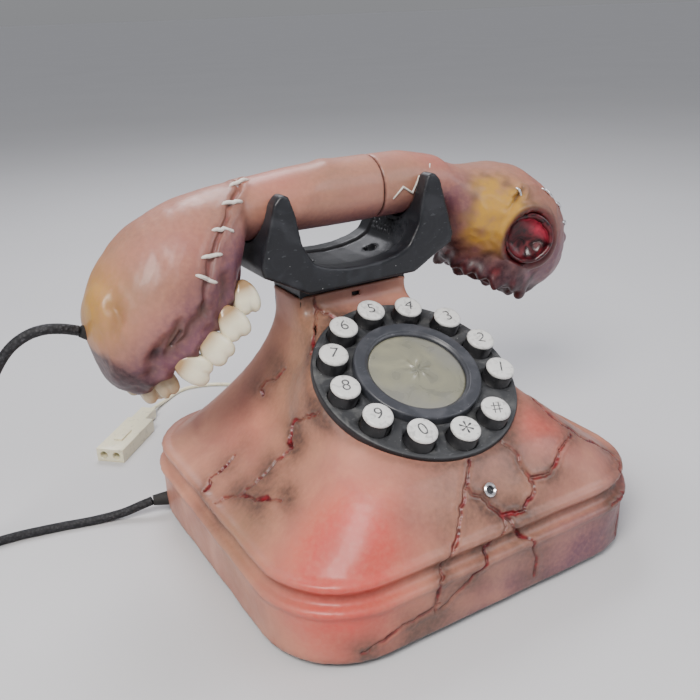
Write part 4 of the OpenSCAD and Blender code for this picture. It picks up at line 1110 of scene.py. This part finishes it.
stump_swell = np.clip((at[:, 0] - 58) / 20, 0, 1)
move += stump_swell * (0.25 * ripple(at, 22, 34) + 0.08 * ripple(at, 5, 35))
move *= np.clip((at[:, 0] - SEAM_X - 0.6) / 2, 0, 1) * ~in_socket * ~in_cup
down = np.array(ear_frame.to_3x3() @ Vector((0, 0, 1)))
drip = 4.2 * torn * (ragged - 0.6)
shifted(stump, out * (move + 1.6 * torn * (ragged - 0.8))[:, None] + down * drip[:, None])
soften(stump, [v for v, t in zip(stump.verts, torn) if t > 0.05], 7)
stump_skin = piece("ear_half_skin", stump, flesh, "handset")
# darker towards the torn rim below
torn_rim_dark = np.clip((edge[:, 2] + 12 + 5 * ripple(at, 12, 36)) / 7, 0, 1) * (at[:, 0] > 58)
ring = np.exp(-((from_hole - 14.5) / 3.1) ** 4) * (np.abs(hole[:, 2]) < 9)
rot_edge = np.clip(rot_patch, 0, 1) * (1 - np.clip(rot_patch, 0, 1)) * 4
# painted shade in the gap of the seam between the two halves
seam_gap_shade = np.exp(-((at[:, 0] - SEAM_X) / 0.8) ** 4)
socket_shadow = np.exp(-((from_hole - 18) / 4) ** 2) * (np.abs(hole[:, 2]) < 9)
raw_edge = np.exp(-((edge[:, 2] + 3) / 3.5) ** 2) * np.clip(ripple(at, 10, 39), 0, 1) * (at[:, 0] > 60)
painted(
    stump_skin,
    tan=0.5 + 0.22 * ripple(at, 34, 45) + 0.2 * stump_swell,
    rot=np.clip(1.35 * rot_patch * (0.85 + 0.4 * ripple(at, 11, 37)), 0, 1),
    blush=sprayed(at, [(0.35, (132, 30, 166), 20), (0.3, (60, 36, 190), 20), (0.3, (110, 70, 150), 26)]),
    # painted shade: the mauve deepens towards the underside of the stump and of the grip, over an even mauve
    # tone
    mauve=0.75 * np.clip((160 - at[:, 2]) / 30, 0, 1) * stump_swell + 0.6 * spot(at, (68, 20, 166), 15)
    + 0.65 * np.clip((174 - at[:, 2]) / 14, 0, 1) * (1 - stump_swell) + 0.24,
    # painted shade in the slit, in both the shade and the dark layer
    shade=0.6 * socket_shadow + 0.55 * np.exp(-(scar_gap / 3.5) ** 2)
    + 0.75 * rot_edge * np.clip(0.6 + ripple(at, 7, 38), 0, 1) + 0.8 * np.exp(-(slit_gap / 1.6) ** 2),
    dark=0.95 * torn_rim_dark + 0.7 * in_cup + 0.8 * ring + 0.85 * seam_gap_shade + 0.8 * np.exp(-(slit_gap / 0.8) ** 2),
    wound=0.55 * in_socket + 0.5 * ring + 0.6 * raw_edge + 0.35 * np.exp(-(scar_gap / 1.0) ** 2),
)
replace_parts(stump_skin, "handset_ear_half")


# ---- Mouth, teeth and socket ----
# The teeth are cast resin, each glued into the gum. The mouth and the socket are lined with red-black
# cups painted to look wet.

def wet_gore(name, deep, bright, low=0.4, high=0.62, fresh=(0.75, 0.07, 0.13)):
    """Glossy clotted red. Where the painted layer "fresh" is 1 it is pink."""
    mat, shader, place = new_finish(name, roughness=0.35, coat=0.2)
    cloud = grain(mat, place, 160, 6, 1.4)
    old = tinted(mat, spread(mat, cloud, low, high), deep, bright)
    pink = painted_layer(mat, "fresh", spread(mat, cloud, 0.3, 0.7, 0.7, 1.1))
    join(mat, tinted(mat, pink, old, fresh), shader.inputs["Base Color"])
    join(mat, spread(mat, cloud, 0.3, 0.7, 0.25, 0.5), shader.inputs["Roughness"])
    bumped(mat, shader, [(cloud, 0.5, 0.0008), (grain(mat, place, 700, 4), 0.3, 0.0004)])
    return mat


def fleshy_cup(name, node, matrix, radius, deep, finish, fresh=0):
    """A thin cup with a lumpy inner wall and a rounded bottom."""
    inner = radius - 1.7
    bowl = [(inner * math.cos(a), -deep + 7 - 5.2 * math.sin(a)) for a in np.radians(range(0, 91, 10))]
    wall = [(inner, z) for z in np.arange(-1, -deep + 7, -1.5)]
    profile = [(0, -deep), (radius - 2, -deep), (radius, -deep + 2), (radius, -1), (radius - 0.9, -0.1)]
    bm = turned(profile + wall + bowl[:-1] + [(0, -deep + 1.8)], 72)
    at = places(bm)
    inward = (np.hypot(at[:, 0], at[:, 1]) < inner + 0.2) & (at[:, 2] > -deep + 1)
    away = -np.stack([at[:, 0], at[:, 1], np.zeros(len(at))], axis=1)
    away /= np.maximum(1, np.linalg.norm(away, axis=1))[:, None]
    high_side = np.clip((at[:, 1] * 0.8 + at[:, 0] * 0.6) / radius, 0, 1)
    shifted(bm, away * (inward * (0.9 * np.abs(ripple(at, 9, 41)) + fresh * 1.6 * high_side))[:, None])
    bmesh.ops.transform(bm, matrix=matrix, verts=bm.verts)
    obj = piece(name, bm, finish, "handset")
    painted(obj, fresh=fresh * 1.5 * inward * np.clip(high_side - 0.25, 0, 1) * (at[:, 2] < -1.5))
    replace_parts(obj, node)


fleshy_cup("mouth_lining", "mouth_liner", mouth_frame, 25.9, 21.9,
           wet_gore("mouth_gore", (0.020, 0.003, 0.004), (0.13, 0.012, 0.018)))
fleshy_cup("socket_lining", "ear_socket_liner", socket_frame @ Matrix.Translation(mm(0, 0, 0.8)), 14.4, 10.6,
           wet_gore("socket_gore", (0.018, 0.002, 0.004), (0.12, 0.008, 0.014)), fresh=1)


def tooth_resin(name, crown, root):
    """Glossy cast resin, stained brown towards the gum by a painted layer."""
    mat, shader, place = new_finish(name, roughness=0.25, coat=0.5)
    cloud = grain(mat, place, 130, 5)
    body_tone = tinted(mat, spread(mat, cloud, 0.4, 0.7, 0, 0.6), crown, tuple(0.8 * c for c in crown))
    join(mat, tinted(mat, painted_layer(mat, "stain"), body_tone, root), shader.inputs["Base Color"])
    lit_through(shader, 0.2, (0.003, 0.002, 0.0012))
    bumped(mat, shader, [(grain(mat, place, 260, 4), 0.3, 0.0006)])
    return mat


def tooth(width, length, thick, seed):
    """A molar: narrow at the neck, full in the crown, with four blunt cusps and a groove in front."""
    bm = bmesh.new()
    bmesh.ops.create_icosphere(bm, subdivisions=5, radius=1)
    rng = np.random.default_rng(seed)
    tilt, shift = rng.uniform(-0.9, 0.9), rng.uniform(-0.12, 0.12)
    for v in bm.verts:
        turn, up = math.atan2(v.co.y, v.co.x), v.co.z
        fullness = 3.4 if up > 0 else 2.2
        ring = max(0, 1 - abs(up) ** fullness) ** (1 / fullness)
        square = (abs(math.cos(turn)) ** 3.4 + abs(math.sin(turn)) ** 3.4) ** (-1 / 3.4)
        neck = 0.76 + 0.24 * min(1, max(0, (up + 0.75) / 1.0)) ** 0.7
        side, front = math.cos(turn) * ring * square, math.sin(turn) * ring * square
        groove = math.exp(-((side - shift) / 0.15) ** 2)
        crown = max(0, up - 0.35) / 0.65
        low = crown * (1.0 * math.exp(-((side - shift) / 0.2) ** 2) + 0.8 * math.exp(-(front / 0.28) ** 2))
        deep = 0.4 * groove * (abs(front) > 0.3) * math.copysign(1, front) * max(0, up + 0.25)
        z = (length + 3) * (0.5 + 0.5 * up) - 3 - low + tilt * side * crown
        v.co = mm(side * neck * width / 2, front * neck * thick / 2 - deep, z)
    return bm


def teeth_row(name, node, rows, finish, seed):
    row = bmesh.new()
    stain = []
    for k, (along, away, lean, width, length) in enumerate(rows):
        bm = tooth(width * 0.9, length - 2.5, 10.5, seed + k)
        heights = np.array([v.co.z for v in bm.verts]) * 1000
        stain.append(np.clip(1 - heights / (length * 0.36), 0, 1) ** 1.4)
        place = (mouth_frame @ Matrix.Translation(mm(40 - along, -away, -1.5))
                 @ Matrix.Rotation(math.radians(-lean), 4, "Y") @ Matrix.Rotation(math.radians(-6), 4, "X"))
        bmesh.ops.transform(bm, matrix=place, verts=bm.verts)
        added(row, bm)
    obj = piece(name, row, finish, "handset")
    painted(obj, stain=np.concatenate(stain))
    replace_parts(obj, node)


teeth_row("upper_teeth_resin", "upper_teeth", UPPER_TEETH,
          tooth_resin("tooth_ivory", (0.86, 0.80, 0.60), (0.36, 0.22, 0.10)), 50)
# painted shade: the lower row is the same ivory made darker
teeth_row("lower_teeth_resin", "lower_teeth", LOWER_TEETH,
          tooth_resin("tooth_ivory_in_shade", (0.50, 0.38, 0.24), (0.20, 0.11, 0.06)), 60)


# ---- Stitches and staples ----
# Waxed thread holds the scar in five stitches, and a finer thread zigzags near the seam.
# Four bright staples pin the skin round the socket.

def thread():
    mat, shader, place = new_finish("waxed_thread", roughness=0.5, coat=0.15)
    fibre = grain(mat, place, 1400, 3)
    join(mat, tinted(mat, fibre, (0.78, 0.74, 0.68), (0.55, 0.50, 0.44)), shader.inputs["Base Color"])
    bumped(mat, shader, [(fibre, 0.5, 0.0003)])
    return mat


def on_skin(skin, point, lift):
    """The nearest point on the skin, lifted off it by this many millimetres, and its normal."""
    _, where, normal, _ = skin.closest_point_on_mesh(point)
    return where + normal * lift / 1000, normal


def stitch_run(skin, ends, lift, steps=8):
    """An arched run from one end to the other, its ends sunk into the skin."""
    a, b = (mm(*p) for p in ends)
    run = []
    for k in range(steps + 1):
        t = k / steps
        where, _ = on_skin(skin, a.lerp(b, t), lift * math.sin(math.pi * t) ** 0.6 - 0.5)
        run.append(where)
    return run


def sewn(name, runs, radius, finish):
    """Several short thick threads in one piece, each thin at its ends."""
    whole = bmesh.new()
    for run in runs:
        added(whole, tube(run, radius, 16, thin_ends=True))
    return piece(name, whole, finish, "handset")


waxed = thread()
STITCH_ENDS = [
    ((-63, 34, 189), (-51, 36, 191)), ((-72, 23, 183), (-60, 24, 182)), ((-81, 14, 174), (-71, 17, 170)),
    ((-90, 9, 163), (-79, 11, 162)), ((-94, 7, 156), (-84, 9, 150)),
]
stitch_runs = [stitch_run(head_skin, ends, 1.3) for ends in STITCH_ENDS]
stitches = sewn("scar_thread", stitch_runs, 0.00105, waxed)
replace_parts(stitches, "scar_stitches")
zigzag_run = [on_skin(stump_skin, point, 0.3)[0] for point in smooth_run(ZIGZAG, 1)]
sewn("zigzag_thread", [zigzag_run], 0.0008, waxed)


def bright_metal(name, tone=(0.78, 0.78, 0.80), roughness=0.22):
    mat, shader, place = new_finish(name, roughness=roughness, metallic=1.0)
    cloud = grain(mat, place, 400, 5)
    dull = tuple(0.55 * c for c in tone)
    join(mat, tinted(mat, spread(mat, cloud, 0.5, 0.75), tone, dull), shader.inputs["Base Color"])
    join(mat, spread(mat, cloud, 0.3, 0.75, roughness - 0.06, roughness + 0.25), shader.inputs["Roughness"])
    bumped(mat, shader, [(grain(mat, place, 1600, 2), 0.1, 0.0001)])
    return mat


plated = bright_metal("bright_plating")
STAPLE_ENDS = [
    ((101, 13, 170), (106, 12, 162)), ((126, 17, 166), (131, 17, 157)), ((138, 15, 157), (146, 20, 150)),
    ((143, 12, 144), (152, 20, 139)),
]
staple_runs = [stitch_run(stump_skin, ends, 1.2) for ends in STAPLE_ENDS]
staples = sewn("socket_staples", staple_runs, 0.0009, plated)
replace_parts(staples, "ear_staples")


# ---- Small parts ----
# Plain moulded, rubber and metal parts keep their CAD shape and get their own finish.

def rubber():
    mat, shader, place = new_finish("black_rubber", roughness=0.7, specular=0.3)
    cloud = grain(mat, place, 200, 5)
    join(mat, tinted(mat, cloud, (0.010, 0.010, 0.011), (0.035, 0.034, 0.033)), shader.inputs["Base Color"])
    bumped(mat, shader, [(grain(mat, place, 1300, 3), 0.3, 0.0003)])
    return mat


def circuit_board():
    mat, shader, place = new_finish("circuit_board", roughness=0.35, coat=0.4)
    tracks = linked(mat, "TexVoronoi", Vector=place, Scale=260)
    lines = spread(mat, tracks.outputs["Distance"], 0.30, 0.34)
    join(mat, tinted(mat, lines, (0.01, 0.12, 0.045), (0.02, 0.22, 0.08)), shader.inputs["Base Color"])
    return mat


def finished_node(node, finish):
    """Gives a CAD node its material, edge to edge."""
    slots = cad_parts[node].data.materials
    if len(slots):
        slots[0] = finish
    else:
        slots.append(finish)


steel = bright_metal("zinc_steel", (0.58, 0.58, 0.60), 0.34)
dark_rubber = rubber()
board_green = circuit_board()
grey_mat = worn_plastic("grey_silicone", (0.22, 0.22, 0.23), (0.30, 0.30, 0.31), 0.6, 0.2)
cell_sleeve = worn_plastic("cell_sleeve", (0.02, 0.09, 0.07), (0.05, 0.14, 0.11), 0.35, 0.2)
cone_paper = worn_plastic("cone_paper", (0.010, 0.010, 0.011), (0.03, 0.03, 0.03), 0.7, 0.1)
lamp_white = worn_plastic("lamp_white", (0.5, 0.48, 0.38), (0.6, 0.58, 0.46), 0.4, 0.1)

CAD_FINISHES = {
    black_abs: ("base_plate", "battery_box", "battery_door", "mode_switch_body", "mode_switch_slider",
                "hook_tower", "hook_switch", "cradle_post", "ear_speaker", "sensor_capsule"),
    dark_rubber: ("rubber_feet", "handset_gland", "base_gland", "lead_gland"),
    steel: ("base_screws", "battery_contacts", "battery_door_screw", "board_screws", "speaker_basket",
            "speaker_magnet", "hook_spring", "cradle_screws"),
    plated: ("sensor_eyelet",),
    board_green: ("main_board", "keypad_board"),
    grey_mat: ("keypad_mat",),
    cell_sleeve: ("battery_cells",),
    cone_paper: ("speaker_cone",),
    lamp_white: ("dial_lamp",),
}
for finish, nodes in CAD_FINISHES.items():
    for node in nodes:
        finished_node(node, finish)
